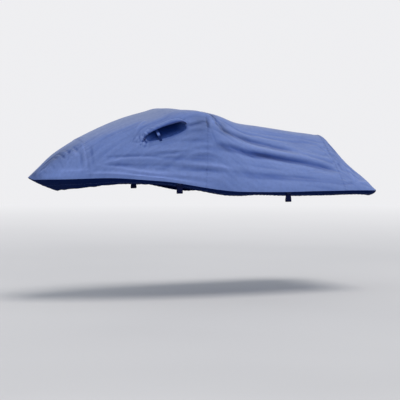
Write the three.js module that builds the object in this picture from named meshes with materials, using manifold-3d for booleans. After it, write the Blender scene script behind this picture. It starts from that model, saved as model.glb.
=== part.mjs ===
// A fitted cover for a personal watercraft, hollow, as it hangs when it is stretched over one.
// Millimetres. +X runs from bow to stern, -Y is the port side and +Z is up.
// The origin lies on the inner face of the cloth, under the crest of the steering pod.
import * as THREE from 'three';
import { mergeVertices } from 'three/addons/utils/BufferGeometryUtils.js';
import Module from 'manifold-3d';

const wasm = await Module();
wasm.setup();

// Driving dimensions of the cloth
const COVER_LENGTH = 3150;
const CLOTH_THICK = 2;
const SEAM_GAP = 0.34;
const SEAT_GAP = 0.3;
const CREST_X = 1220;

// Plan rounding of the two ends: how far the rim is swept, and over which length
const BOW_SWEEP = 35;
const STERN_SWEEP = 30;
const END_REACH = 300;

// Cross seams. Each runs from its place on the ridge to its place on the rim.
const SEAM_CURVE = 1.5;
const SEAMS = [
  { panel: 'nose_panel', ridgeX: 455, rimX: 455, steps: 6 },
  { panel: 'hood_panel', ridgeX: 1555, rimX: 1420, steps: 15 },
  { panel: 'seat_panel', ridgeX: 2775, rimX: 2775, steps: 16 },
  { panel: 'tail_panel', ridgeX: COVER_LENGTH, rimX: COVER_LENGTH, steps: 7 },
];

// Steps of the cloth across one side, between ridge, crown, shoulder, flank and rim
const ACROSS_STEPS = [3, 4, 7, 7];
const HEM_STEPS = 3;

// Half sections of the cover. "Up" is measured from the hem line at the stern.
const SECTIONS = table(
  ['x', 'ridgeUp', 'crownHalf', 'crownUp', 'shoulderHalf', 'shoulderUp', 'flankHalf', 'flankUp', 'rimHalf', 'rimUp'],
  [
    [0, 140, 12, 139, 24, 135, 36, 128, 46, 121],
    [100, 226, 30, 223, 68, 207, 106, 172, 134, 125],
    [200, 313, 44, 309, 98, 285, 158, 225, 205, 127],
    [400, 441, 70, 433, 160, 396, 252, 294, 315, 134],
    [600, 536, 100, 526, 222, 480, 328, 349, 396, 139],
    [900, 650, 140, 638, 302, 573, 415, 393, 484, 120],
    [1120, 708, 160, 694, 345, 629, 462, 412, 528, 99],
    [1200, 727, 175, 717, 357, 655, 474, 418, 542, 86],
    [1430, 706, 230, 705, 388, 683, 500, 434, 573, 46],
    [1540, 699, 225, 696, 372, 652, 495, 420, 585, 29],
    [1700, 672, 180, 665, 312, 591, 470, 374, 596, 12],
    [1900, 606, 135, 598, 257, 510, 440, 306, 602, 5],
    [2150, 568, 110, 560, 227, 462, 422, 267, 603, 0],
    [2500, 516, 105, 509, 217, 421, 420, 232, 599, 1],
    [2720, 488, 100, 482, 222, 389, 424, 205, 592, 0],
    [2800, 472, 100, 466, 226, 368, 426, 192, 587, 0],
    [2940, 278, 128, 276, 275, 238, 448, 142, 577, -2],
    [3080, 108, 150, 106, 300, 96, 450, 68, 563, -5],
    [3150, 24, 150, 24, 290, 22, 410, 15, 515, -8],
  ],
);

// The hem is turned in below the rim: its edge is the rim moved aft, narrowed and dropped.
// Round is 1 where the hem rolls under in a quarter turn and 0 where it runs straight in.
const HEM = table(
  ['x', 'aft', 'narrow', 'drop', 'round'],
  [
    [0, 240, 0.3, 100, 0.2],
    [100, 170, 0.34, 96, 0.2],
    [200, 110, 0.42, 90, 0.2],
    [400, 50, 0.65, 78, 0.3],
    [600, 20, 0.8, 60, 0.5],
    [850, 0, 0.88, 42, 0.9],
    [1290, 0, 0.9, 27, 1],
    [1650, 0, 0.903, 42, 1],
    [1900, 0, 0.903, 30, 1],
    [2250, 0, 0.9, 34, 1],
    [2600, 0, 0.9, 42, 1],
    [3000, -10, 0.9, 38, 1],
    [3150, -60, 0.9, 40, 1],
  ],
);
const HEM_WANDER = 3;
const HEM_WAVE = 150;

// Folds of the hanging cloth. Side is -1 for port and 1 for starboard, across is 0 on the
// ridge and 1 on the rim, and a negative depth raises a roll instead of a crease.
const FOLDS = table(
  ['side', 'fromX', 'toX', 'fromAcross', 'toAcross', 'sag', 'depth', 'width'],
  [
    [-1, 1500, 2740, 0.753, 0.77, -0.065, 19, 23],
    [-1, 1600, 2430, 0.607, 0.64, -0.055, 13, 24],
    [-1, 1600, 2790, 0.9, 0.91, -0.03, 8, 20],
    [-1, 660, 1580, 0.815, 0.835, 0.005, 6, 22],
    [-1, 480, 1540, 0.88, 0.895, 0.005, 5, 19],
    [-1, 840, 1440, 0.95, 0.955, 0.005, 4, 15],
    [-1, 560, 1650, 0.93, 0.93, 0.02, -6, 24],
    [-1, 1545, 1690, 0.36, 0.6, 0.02, 9, 26],
    [-1, 1470, 1560, 0.5, 0.76, 0.02, 4, 22],
    [-1, 2815, 3090, 0.42, 0.55, 0.02, 9, 26],
    [1, 1560, 2660, 0.75, 0.77, -0.045, 17, 26],
    [1, 1690, 2330, 0.53, 0.61, -0.03, 11, 22],
    [1, 1740, 2700, 0.875, 0.9, 0.01, 8, 22],
    [1, 600, 1420, 0.82, 0.85, 0.01, 7, 24],
    [1, 520, 1600, 0.9, 0.885, 0, 5, 20],
    [1, 620, 1560, 0.94, 0.93, 0.01, -6, 24],
    [1, 1535, 1660, 0.38, 0.57, 0.02, 8, 26],
    [1, 2830, 3070, 0.3, 0.5, 0.03, 8, 28],
    [1, 2700, 3090, 0.72, 0.85, 0.02, 7, 24],
  ],
);
const ROLL_SHARE = 0.45;
const ROLL_OFFSET = 1.7;
const ROLL_SPREAD = 1.3;
const RIM_FADE = 0.05;

// Side vents: a slanted opening under a sewn cowl, backed by mesh and held open by a prop.
// Sizes up and down the slope are measured from the line between the two tips of the opening.
// The outline is an oval with blunt ends: an ellipse has the power 2, and a box a very high one.
const VENT_X = 1104;
const VENT_ACROSS = 0.632;
const VENT_RISE = 0.27;
const VENT_TIP_DROP = 24;
const VENT_OVAL_POWER = 2.6;
const VENT_HOLE_HALF = 184;
const VENT_HOLE_LOW = 26;
const VENT_HOLE_HIGH = 90;
const VENT_HOLE_POINTS = 28;
const COWL_HALF = 202;
const COWL_LIP_RISE = 62;
const COWL_TALL = 66;
const COWL_PROUD = 45;
const COWL_FLANGE = 12;
const COWL_PEAK = [1.1, 0.45];
const COWL_LONG_STEPS = 14;
const COWL_TALL_STEPS = 5;
const MESH_MARGIN = 14;
const MESH_THICK = 2;
const SINK = 1.2;
const CUTTER_HALF = 15;
const PROP_AT = -72;
const PROP_WIDE = 24;
const PROP_THICK = 3;
const PROP_FOOT = 14;
const PROP_UNDER_LIP = 10;

// Webbing loops for tie-down straps, hanging from the hem
const LOOPS = table(
  ['name', 'side', 'x'],
  [
    ['tie_loop_port_fore', -1, 1180],
    ['tie_loop_port_aft', -1, 2190],
    ['tie_loop_starboard_fore', 1, 1180],
    ['tie_loop_starboard_aft', 1, 2190],
  ],
);
const WEBBING_WIDE = 50;
const WEBBING_THICK = 2;
const LEAF_TOP = 1;
const LEAF_OUT = 2.6;
const LEAF_IN = 1.6;
const LOOP_NECK = 32;
const NECK_FUSE = 8;
const LOOP_BELLY = 74;
const LOOP_BOTTOM = 84;
const LOOP_BELLY_HALF = 12;
const LOOP_FLAT_HALF = 8;
const NECK_HALF = 2;

function table(names, rows) {
  return rows.map((row) => Object.fromEntries(names.map((name, index) => [name, row[index]])));
}

// A smooth value of one column at any x: cubic pieces through the rows
function slopeAt(rows, key, index) {
  const last = rows.length - 1;
  const before = Math.max(index - 1, 0);
  const after = Math.min(index + 1, last);
  const secant = (low, high) => (rows[high][key] - rows[low][key]) / (rows[high].x - rows[low].x);
  if (before === index) return secant(index, after);
  if (after === index) return secant(before, index);
  const stepBefore = rows[index].x - rows[before].x;
  const stepAfter = rows[after].x - rows[index].x;
  const weighted = secant(before, index) * stepAfter + secant(index, after) * stepBefore;
  return weighted / (stepBefore + stepAfter);
}

function along(rows, key, x) {
  const clamped = THREE.MathUtils.clamp(x, rows[0].x, rows[rows.length - 1].x);
  let index = 0;
  while (index < rows.length - 2 && rows[index + 1].x < clamped) index += 1;
  const step = rows[index + 1].x - rows[index].x;
  const s = (clamped - rows[index].x) / step;
  const startSlope = slopeAt(rows, key, index) * step;
  const endSlope = slopeAt(rows, key, index + 1) * step;
  const startValue = rows[index][key];
  const endValue = rows[index + 1][key];
  const cubic = 2 * startValue - 2 * endValue + startSlope + endSlope;
  const square = -3 * startValue + 3 * endValue - 2 * startSlope - endSlope;
  return ((cubic * s + square) * s + startSlope) * s + startValue;
}

function smoothThrough(a, b, c, d, s) {
  const first = c - a;
  const second = 2 * a - 5 * b + 4 * c - d;
  const third = 3 * b - a - 3 * c + d;
  return 0.5 * (2 * b + (first + (second + third * s) * s) * s);
}

// The half section at x: mirrored crown, ridge, crown, shoulder, flank, rim and a point past it
function sectionKnots(x) {
  const at = (key) => along(SECTIONS, key, x);
  const crown = [at('crownHalf'), at('crownUp')];
  const flank = [at('flankHalf'), at('flankUp')];
  const rim = [at('rimHalf'), at('rimUp')];
  const past = [rim[0] + 0.3 * (flank[0] - rim[0]), 2 * rim[1] - flank[1]];
  return [
    [-crown[0], crown[1]],
    [0, at('ridgeUp')],
    crown,
    [at('shoulderHalf'), at('shoulderUp')],
    flank,
    rim,
    past,
  ];
}

function halfGirth(x) {
  const knots = sectionKnots(x);
  let girth = 0;
  for (let k = 1; k < 5; k += 1) {
    girth += Math.hypot(knots[k + 1][0] - knots[k][0], knots[k + 1][1] - knots[k][1]);
  }
  return girth;
}

// A point of the taut cloth. Across runs from -1 on the port rim to 1 on the starboard rim.
function tautPoint(x, across) {
  const t = Math.abs(across);
  const knots = sectionKnots(x);
  const k = Math.min(Math.floor(t * 4), 3);
  const s = t * 4 - k;
  const [half, up] = [0, 1].map((axis) => (
    smoothThrough(knots[k][axis], knots[k + 1][axis], knots[k + 2][axis], knots[k + 3][axis], s)
  ));
  const bow = BOW_SWEEP * t * t * Math.max(0, 1 - x / END_REACH);
  const stern = STERN_SWEEP * t * t * Math.max(0, (x - COVER_LENGTH + END_REACH) / END_REACH);
  return new THREE.Vector3(x + bow - stern, Math.sign(across) * half, up);
}

function tautNormal(x, across) {
  const stepX = 5;
  const stepAcross = 0.01;
  const lowX = Math.max(x - stepX, 0);
  const highX = Math.min(x + stepX, COVER_LENGTH);
  const lowAcross = Math.max(across - stepAcross, -1);
  const highAcross = Math.min(across + stepAcross, 1);
  const lengthwise = tautPoint(highX, across).sub(tautPoint(lowX, across));
  const crosswise = tautPoint(x, highAcross).sub(tautPoint(x, lowAcross));
  return lengthwise.cross(crosswise).normalize();
}

// How far the folds draw the cloth in at a point: a crease with a soft roll above it
function foldDepth(x, across) {
  const t = Math.abs(across);
  const girth = halfGirth(x);
  let depth = 0;
  for (const fold of FOLDS) {
    const s = (x - fold.fromX) / (fold.toX - fold.fromX);
    if (s <= 0 || s >= 1 || fold.side !== Math.sign(across)) continue;
    const middle = fold.fromAcross + (fold.toAcross - fold.fromAcross) * s + 4 * fold.sag * s * (1 - s);
    const away = (t - middle) * girth / fold.width;
    const taper = Math.sin(Math.PI * s) ** 0.6;
    const roll = ROLL_SHARE * Math.exp(-(((away + ROLL_OFFSET) / ROLL_SPREAD) ** 2));
    depth += fold.depth * taper * (Math.exp(-away * away) - roll);
  }
  return depth * Math.min(1, (1 - t) / RIM_FADE);
}

function coverPoint(x, across) {
  return tautPoint(x, across).addScaledVector(tautNormal(x, across), -foldDepth(x, across));
}

// The turned-in hem below a rim point, for a share from 0 on the rim to 1 on the free edge
function hemPoint(rim, x, share) {
  const side = Math.sign(rim.y);
  const drop = along(HEM, 'drop', x) + HEM_WANDER * Math.sin(x / HEM_WAVE + side);
  const edge = new THREE.Vector3(rim.x + along(HEM, 'aft', x), rim.y * along(HEM, 'narrow', x), rim.z - drop);
  const turn = share * Math.PI / 2;
  const round = along(HEM, 'round', x);
  const inward = THREE.MathUtils.lerp(share, 1 - Math.cos(turn), round);
  const down = THREE.MathUtils.lerp(share, Math.sin(turn), round);
  return new THREE.Vector3(
    THREE.MathUtils.lerp(rim.x, edge.x, inward),
    THREE.MathUtils.lerp(rim.y, edge.y, inward),
    THREE.MathUtils.lerp(rim.z, edge.z, down),
  );
}

// Where the grid lines of the cloth lie
function acrossValues() {
  const values = [0];
  ACROSS_STEPS.forEach((steps, part) => {
    for (let k = 1; k <= steps; k += 1) values.push((part + k / steps) / 4);
  });
  return [...values.slice(1).reverse().map((value) => -value), ...values];
}

function stationValues() {
  const stations = [{ panel: 0, share: 0 }];
  SEAMS.forEach((seam, panel) => {
    for (let k = 1; k <= seam.steps; k += 1) stations.push({ panel, share: k / seam.steps });
  });
  return stations;
}

function stationX(station, across) {
  const swing = Math.abs(across) ** SEAM_CURVE;
  const seamX = (seam) => THREE.MathUtils.lerp(seam.ridgeX, seam.rimX, swing);
  const start = station.panel === 0 ? 0 : seamX(SEAMS[station.panel - 1]);
  return THREE.MathUtils.lerp(start, seamX(SEAMS[station.panel]), station.share);
}

// The whole outer face of the cloth, as one sheet of points and faces that know their panel
function coverSheet() {
  const points = [];
  const faces = [];
  const seamSides = new Map();
  const acrossAt = acrossValues();
  const stations = stationValues();
  const add = (point) => points.push(point) - 1;
  const grid = stations.map((station) => (
    acrossAt.map((across) => add(coverPoint(stationX(station, across), across)))
  ));
  const lastStation = stations.length - 1;
  const lastAcross = acrossAt.length - 1;
  const quad = (a, b, c, d, panel) => faces.push({ corners: [a, b, c], panel }, { corners: [a, c, d], panel });
  for (let i = 0; i < lastStation; i += 1) {
    for (let j = 0; j < lastAcross; j += 1) {
      quad(grid[i][j], grid[i + 1][j], grid[i + 1][j + 1], grid[i][j + 1], stations[i + 1].panel);
    }
  }

  // The rim in one turn: port side, stern, starboard side and bow
  const rim = [];
  const visit = (i, j, panel) => rim.push({ i, j, panel, x: stationX(stations[i], acrossAt[j]) });
  for (let i = 0; i < lastStation; i += 1) visit(i, 0, stations[i + 1].panel);
  for (let j = 0; j < lastAcross; j += 1) visit(lastStation, j, SEAMS.length - 1);
  for (let i = lastStation; i > 0; i -= 1) visit(i, lastAcross, stations[i].panel);
  for (let j = lastAcross; j > 0; j -= 1) visit(0, j, 0);
  const hem = rim.map((place) => {
    const top = grid[place.i][place.j];
    const column = [top];
    for (let k = 1; k <= HEM_STEPS; k += 1) column.push(add(hemPoint(points[top], place.x, k / HEM_STEPS)));
    return column;
  });
  rim.forEach((place, r) => {
    const next = (r + 1) % rim.length;
    for (let k = 0; k < HEM_STEPS; k += 1) {
      quad(hem[r][k], hem[r][k + 1], hem[next][k + 1], hem[next][k], place.panel);
    }
  });

  // The direction across each seam, so that the two panels can stand a hair apart
  const noteSeam = (index, before, after) => {
    seamSides.set(index, points[after].clone().sub(points[before]).normalize());
  };
  stations.forEach((station, i) => {
    if (station.share !== 1 || i === lastStation) return;
    for (let j = 0; j <= lastAcross; j += 1) noteSeam(grid[i][j], grid[i - 1][j], grid[i + 1][j]);
    rim.forEach((place, r) => {
      const onSide = place.i === i && (place.j === 0 || place.j === lastAcross);
      if (!onSide) return;
      const forward = place.j === 0 ? 1 : -1;
      for (let k = 1; k <= HEM_STEPS; k += 1) noteSeam(hem[r][k], hem[r - forward][k], hem[r + forward][k]);
    });
  });
  return { points, faces, seamSides, normals: pointNormals(points, faces) };
}

function pointNormals(points, faces) {
  const normals = points.map(() => new THREE.Vector3());
  for (const { corners } of faces) {
    const [a, b, c] = corners.map((index) => points[index]);
    const area = b.clone().sub(a).cross(c.clone().sub(a));
    corners.forEach((index) => normals[index].add(area));
  }
  return normals.map((normal) => normal.normalize());
}

// A closed sheet: an outer skin, an inner skin and a strip along every free edge
function closedSheet(outer, inner, triangles) {
  const positions = [...outer, ...inner].flatMap((point) => point.toArray());
  const offset = outer.length;
  const index = [];
  const edges = new Map();
  for (const [a, b, c] of triangles) {
    index.push(a, b, c, a + offset, c + offset, b + offset);
    for (const [from, to] of [[a, b], [b, c], [c, a]]) {
      if (edges.has(`${to}_${from}`)) edges.delete(`${to}_${from}`);
      else edges.set(`${from}_${to}`, [from, to]);
    }
  }
  for (const [from, to] of edges.values()) {
    index.push(from, from + offset, to + offset, from, to + offset, to);
  }
  const geometry = new THREE.BufferGeometry();
  geometry.setAttribute('position', new THREE.Float32BufferAttribute(positions, 3));
  geometry.setIndex(index);
  return geometry;
}

function signedVolume(geometry) {
  const position = geometry.getAttribute('position');
  const corner = (k) => new THREE.Vector3().fromBufferAttribute(position, geometry.index.getX(k));
  let volume = 0;
  for (let k = 0; k < geometry.index.count; k += 3) volume += corner(k).dot(corner(k + 1).cross(corner(k + 2)));
  return volume / 6;
}

function facedOut(geometry) {
  if (signedVolume(geometry) < 0) {
    const list = geometry.index.array;
    for (let k = 0; k < list.length; k += 3) [list[k + 1], list[k + 2]] = [list[k + 2], list[k + 1]];
  }
  return geometry;
}

// One panel of the cover, with its skins moved out by "grow" on both faces
function panelSheet(sheet, panel, grow = 0) {
  const own = new Map();
  const outer = [];
  const inner = [];
  const triangles = [];
  const panelsAt = new Map();
  sheet.faces.forEach((face) => face.corners.forEach((index) => {
    if (!sheet.seamSides.has(index)) return;
    panelsAt.set(index, Math.min(face.panel, panelsAt.get(index) ?? face.panel));
  }));
  const place = (index) => {
    if (!own.has(index)) {
      const point = sheet.points[index].clone();
      const normal = sheet.normals[index];
      if (sheet.seamSides.has(index)) {
        const away = panelsAt.get(index) === panel ? -1 : 1;
        point.addScaledVector(sheet.seamSides.get(index), away * SEAM_GAP / 2);
      }
      own.set(index, outer.length);
      outer.push(point.clone().addScaledVector(normal, grow));
      inner.push(point.clone().addScaledVector(normal, -CLOTH_THICK - grow));
    }
    return own.get(index);
  };
  for (const face of sheet.faces) {
    if (face.panel === panel) triangles.push(face.corners.map(place));
  }
  return closedSheet(outer, inner, triangles);
}

function toSolid(geometry) {
  const bare = geometry.clone();
  bare.deleteAttribute('normal');
  bare.deleteAttribute('uv');
  const merged = mergeVertices(bare, 1e-4);
  return new wasm.Manifold(new wasm.Mesh({
    numProp: 3,
    vertProperties: new Float32Array(merged.getAttribute('position').array),
    triVerts: new Uint32Array(merged.index.array),
  }));
}

function toGeometry(solid) {
  const mesh = solid.getMesh();
  const geometry = new THREE.BufferGeometry();
  geometry.setAttribute('position', new THREE.BufferAttribute(new Float32Array(mesh.vertProperties), 3));
  geometry.setIndex(new THREE.BufferAttribute(new Uint32Array(mesh.triVerts), 1));
  return geometry;
}

// The largest body of a cut solid, without the slivers that a cut can leave beside it
function mainBody(solid) {
  return solid.decompose().reduce((best, body) => (body.volume() > best.volume() ? body : best));
}

// A point beside a vent, from its place along and up the slope, and its height off the cloth
function ventPlace(side) {
  const centre = [VENT_X, side * VENT_ACROSS];
  const probeX = 20;
  const probeAcross = 0.02;
  const normal = tautNormal(...centre);
  const perX = tautPoint(centre[0] + probeX, centre[1]).sub(tautPoint(...centre)).divideScalar(probeX);
  const perAcross = tautPoint(centre[0], centre[1] + probeAcross).sub(tautPoint(...centre)).divideScalar(probeAcross);
  const longAxis = new THREE.Vector3(1, 0, VENT_RISE);
  longAxis.addScaledVector(normal, -longAxis.dot(normal)).normalize();
  const tallAxis = normal.clone().cross(longAxis);
  if (tallAxis.z < 0) tallAxis.negate();
  return (a, b, lift) => {
    const shift = longAxis.clone().multiplyScalar(a).addScaledVector(tallAxis, b);
    const xx = perX.dot(perX);
    const xt = perX.dot(perAcross);
    const tt = perAcross.dot(perAcross);
    const sx = shift.dot(perX);
    const st = shift.dot(perAcross);
    const even = xx * tt - xt * xt;
    const x = centre[0] + (sx * tt - st * xt) / even;
    const across = centre[1] + (st * xx - sx * xt) / even;
    return coverPoint(x, across).addScaledVector(tautNormal(x, across), lift);
  };
}

function fanTriangles(count) {
  return Array.from({ length: count }, (_, k) => [0, 1 + k, 1 + (k + 1) % count]);
}

// One side of a point on a blunt oval, from the cosine or sine of its angle
function blunt(share) {
  return Math.sign(share) * Math.abs(share) ** (2 / VENT_OVAL_POWER);
}

// An oval slab that follows the cloth, wider than the opening by "margin", between two heights
function ovalSlab(place, margin, low, high) {
  const skin = (lift) => {
    const ring = [place(0, 0, lift)];
    for (let k = 0; k < VENT_HOLE_POINTS; k += 1) {
      const angle = 2 * Math.PI * k / VENT_HOLE_POINTS;
      const tall = Math.sin(angle) > 0 ? VENT_HOLE_HIGH : VENT_HOLE_LOW;
      const a = (VENT_HOLE_HALF + margin) * blunt(Math.cos(angle));
      ring.push(place(a, (tall + margin) * blunt(Math.sin(angle)) - VENT_TIP_DROP, lift));
    }
    return ring;
  };
  return facedOut(closedSheet(skin(high), skin(low), fanTriangles(VENT_HOLE_POINTS)));
}

// The height of the cowl's lip along the vent, highest in its aft half
function lipShare(s) {
  const [rise, fall] = COWL_PEAK;
  const peak = rise / (rise + fall);
  return (s ** rise * (1 - s) ** fall) / (peak ** rise * (1 - peak) ** fall);
}

// The lip's place up the slope: an arch over the opening, from tip to tip
function lipRise(s) {
  return COWL_LIP_RISE * archShare(s) - VENT_TIP_DROP;
}

function archShare(s) {
  return (1 - Math.abs(2 * s - 1) ** VENT_OVAL_POWER) ** (1 / VENT_OVAL_POWER);
}

// The sewn cowl above the opening, from its free lip to its flange, grown by "grow"
function cowlSheet(place, grow = 0) {
  const outer = [];
  const inner = [];
  const triangles = [];
  const rows = COWL_TALL_STEPS + 2;
  const endShare = 0.005;
  for (let k = 0; k <= COWL_LONG_STEPS; k += 1) {
    const s = THREE.MathUtils.lerp(endShare, 1 - endShare, (1 - Math.cos(Math.PI * k / COWL_LONG_STEPS)) / 2);
    const a = COWL_HALF * (2 * s - 1);
    for (let row = 0; row < rows; row += 1) {
      const onFlange = row === rows - 1;
      const q = Math.min(row / COWL_TALL_STEPS, 1);
      const proud = COWL_PROUD * lipShare(s) * Math.cos(q * Math.PI / 2) ** 0.7;
      const b = lipRise(s) + COWL_TALL * archShare(s) * q + (onFlange ? COWL_FLANGE : 0) - (row ? 0 : grow);
      const base = SEAT_GAP + (q < 1 ? proud : 0);
      outer.push(place(a, b, base + CLOTH_THICK + grow));
      inner.push(place(a, b, (q < 1 ? base : -SINK) - grow));
    }
  }
  for (let k = 0; k < COWL_LONG_STEPS; k += 1) {
    for (let row = 0; row < rows - 1; row += 1) {
      const corner = k * rows + row;
      triangles.push([corner, corner + rows, corner + rows + 1], [corner, corner + rows + 1, corner + 1]);
    }
  }
  return facedOut(closedSheet(outer, inner, triangles));
}

// A stiff strip that stands on the cloth below the opening and reaches up under the lip
function propSheet(place) {
  const s = (PROP_AT / COWL_HALF + 1) / 2;
  const lip = COWL_PROUD * lipShare(s);
  const foot = -VENT_HOLE_LOW - VENT_TIP_DROP;
  const path = [
    [foot - PROP_FOOT, -SINK],
    [foot, -SINK],
    [foot * 0.45, lip * 0.55],
    [lipRise(s) + PROP_UNDER_LIP, lip + SINK],
  ];
  const outer = [];
  const inner = [];
  const triangles = [];
  path.forEach(([b, lift]) => {
    for (const end of [-1, 1]) {
      outer.push(place(PROP_AT + end * PROP_WIDE / 2, b, lift + PROP_THICK));
      inner.push(place(PROP_AT + end * PROP_WIDE / 2, b, lift));
    }
  });
  for (let k = 0; k < 2 * path.length - 2; k += 2) triangles.push([k, k + 1, k + 3], [k, k + 3, k + 2]);
  return facedOut(closedSheet(outer, inner, triangles));
}

// A webbing loop: its outline is drawn outward and down from the rim, then given its width.
// Its sewn end lies on the first turn of the hem, and the rest hangs straight down.
function tieLoop(side, x) {
  const reach = 30;
  const rim = coverPoint(x, side);
  const run = coverPoint(x + reach, side).sub(coverPoint(x - reach, side)).setZ(0).normalize();
  const up = new THREE.Vector3(0, 0, 1);
  const outward = run.clone().cross(up).multiplyScalar(-side);
  const turned = hemPoint(rim, x, 1 / HEM_STEPS).sub(rim);
  const hang = turned.dot(outward);
  const fall = turned.z;
  const shape = new THREE.Shape();
  shape.moveTo(LEAF_OUT, -LEAF_TOP);
  shape.lineTo(-LEAF_IN, -LEAF_TOP);
  shape.lineTo(hang - LEAF_IN, fall);
  shape.lineTo(hang - NECK_HALF, -LOOP_NECK);
  shape.lineTo(hang - LOOP_BELLY_HALF, -LOOP_BELLY);
  shape.lineTo(hang - LOOP_FLAT_HALF - 1, -LOOP_BOTTOM - WEBBING_THICK);
  shape.lineTo(hang + LOOP_FLAT_HALF + 1, -LOOP_BOTTOM - WEBBING_THICK);
  shape.lineTo(hang + LOOP_BELLY_HALF, -LOOP_BELLY);
  shape.lineTo(hang + NECK_HALF, -LOOP_NECK);
  shape.lineTo(hang + LEAF_OUT, fall);
  shape.closePath();
  const hole = new THREE.Path();
  hole.moveTo(hang, -LOOP_NECK - NECK_FUSE);
  hole.lineTo(hang + LOOP_BELLY_HALF - WEBBING_THICK, -LOOP_BELLY);
  hole.lineTo(hang + LOOP_FLAT_HALF, -LOOP_BOTTOM);
  hole.lineTo(hang - LOOP_FLAT_HALF, -LOOP_BOTTOM);
  hole.lineTo(hang - LOOP_BELLY_HALF + WEBBING_THICK, -LOOP_BELLY);
  hole.closePath();
  shape.holes.push(hole);
  const geometry = new THREE.ExtrudeGeometry(shape, { depth: WEBBING_WIDE, bevelEnabled: false });
  geometry.translate(0, 0, -WEBBING_WIDE / 2);
  const width = outward.clone().cross(up);
  geometry.applyMatrix4(new THREE.Matrix4().makeBasis(outward, up, width).setPosition(rim));
  return mergeVertices(stripped(geometry), 1e-4);
}

function stripped(geometry) {
  geometry.deleteAttribute('normal');
  geometry.deleteAttribute('uv');
  return geometry;
}

// Materials
const cloth = { color: 0x5f74b4, roughness: 0.82, metalness: 0 };
const meshCloth = { color: 0x10141f, roughness: 0.9, metalness: 0 };
const webbing = { color: 0x111c44, roughness: 0.75, metalness: 0 };
const strip = { color: 0x8f9cc8, roughness: 0.6, metalness: 0 };

const cover = new THREE.Group();
const sheet = coverSheet();
const crest = coverPoint(CREST_X, 0);
const shift = new THREE.Vector3(-CREST_X, 0, CLOTH_THICK - crest.z);

function addPiece(name, geometry, finish) {
  const moved = geometry.clone();
  moved.translate(shift.x, shift.y, shift.z);
  moved.computeVertexNormals();
  const mesh = new THREE.Mesh(moved, new THREE.MeshStandardMaterial(finish));
  mesh.name = name;
  cover.add(mesh);
}

const panels = SEAMS.map((seam, panel) => toSolid(panelSheet(sheet, panel)));
const grown = SEAMS.map((seam, panel) => toSolid(panelSheet(sheet, panel, SEAT_GAP)));
const ventPanel = SEAMS.findIndex((seam) => seam.panel === 'hood_panel');

for (const [side, sideName] of [[-1, 'port'], [1, 'starboard']]) {
  const place = ventPlace(side);
  const opening = toSolid(ovalSlab(place, 0, -CUTTER_HALF, CUTTER_HALF));
  const meshSlab = ovalSlab(place, MESH_MARGIN, -CLOTH_THICK - SEAT_GAP - MESH_THICK, -SINK);
  const cowl = mainBody(toSolid(cowlSheet(place)).subtract(grown[ventPanel]));
  const prop = toSolid(propSheet(place)).subtract(grown[ventPanel]).subtract(toSolid(cowlSheet(place, SEAT_GAP)));
  panels[ventPanel] = panels[ventPanel].subtract(opening);
  addPiece(`vent_cowl_${sideName}`, toGeometry(cowl), cloth);
  addPiece(`vent_mesh_${sideName}`, toGeometry(mainBody(toSolid(meshSlab).subtract(grown[ventPanel]))), meshCloth);
  addPiece(`vent_prop_${sideName}`, toGeometry(mainBody(prop)), strip);
}

SEAMS.forEach((seam, panel) => addPiece(seam.panel, toGeometry(panels[panel]), cloth));

for (const { name, side, x } of LOOPS) {
  const panel = SEAMS.findIndex((seam) => x < seam.rimX);
  const loop = mainBody(toSolid(tieLoop(side, x)).subtract(grown[panel]));
  addPiece(name, toGeometry(loop), webbing);
}

export default cover;
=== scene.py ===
# %% [markdown]
# # A fitted cover for a personal watercraft
# The real cover is four panels of blue coated polyester. Three cross seams join them, an
# elastic hem draws them in under the hull line, and each side has a hooded air vent and two
# webbing loops for tie-down straps. Nothing holds it up but the craft inside, so the cloth
# is taut over the pod, the seat and the gunwales, and hangs in long soft folds between them.
#
# The packed construction model is the frame. Every piece below is built in its place.

# %% Load the fixed frame
import math

import bpy
import numpy as np
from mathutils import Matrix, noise


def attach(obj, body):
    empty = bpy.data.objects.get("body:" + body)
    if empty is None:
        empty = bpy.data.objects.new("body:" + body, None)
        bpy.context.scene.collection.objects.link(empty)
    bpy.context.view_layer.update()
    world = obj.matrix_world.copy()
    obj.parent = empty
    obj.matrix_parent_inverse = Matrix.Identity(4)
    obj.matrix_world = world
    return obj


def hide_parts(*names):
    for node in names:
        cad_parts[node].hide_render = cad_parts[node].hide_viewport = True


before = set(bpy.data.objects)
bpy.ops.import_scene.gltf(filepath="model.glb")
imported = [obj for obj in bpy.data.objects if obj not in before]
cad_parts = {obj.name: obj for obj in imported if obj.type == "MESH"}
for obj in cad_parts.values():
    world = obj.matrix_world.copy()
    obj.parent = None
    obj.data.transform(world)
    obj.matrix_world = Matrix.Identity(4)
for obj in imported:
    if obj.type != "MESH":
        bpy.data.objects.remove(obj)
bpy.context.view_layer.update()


def in_scene(name, data):
    """A new object around its data, in the scene."""
    made = bpy.data.objects.new(name, data)
    bpy.context.scene.collection.objects.link(made)
    return made


print("nodes in the frame:", len(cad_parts))

# %% [markdown]
# ## Camera
# A cover is photographed from its side with a long lens, so that bow and stern show at
# nearly one scale. The lens could be guessed by eye, but here it follows from the distance:
# a frame one quarter as wide as the distance takes in the whole length. The camera stands
# level with the crest, turned 24 degrees from square, and looks slightly down.

# %% Set the camera
CAMERA_AT = (-5.524, -13.279, -0.028)
CAMERA_TURN = math.radians(24)
CAMERA_TILT = math.radians(3.1)
SENSOR_WIDTH = 36.0
LENS = 4.065 * SENSOR_WIDTH

lens_data = bpy.data.cameras.new("camera")
lens_data.sensor_width = SENSOR_WIDTH
lens_data.lens = LENS
camera = in_scene("camera", lens_data)
camera.location = CAMERA_AT
camera.rotation_euler = (math.pi / 2 - CAMERA_TILT, 0, -CAMERA_TURN)
bpy.context.scene.camera = camera
print("lens:", round(LENS, 1), "mm")

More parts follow.
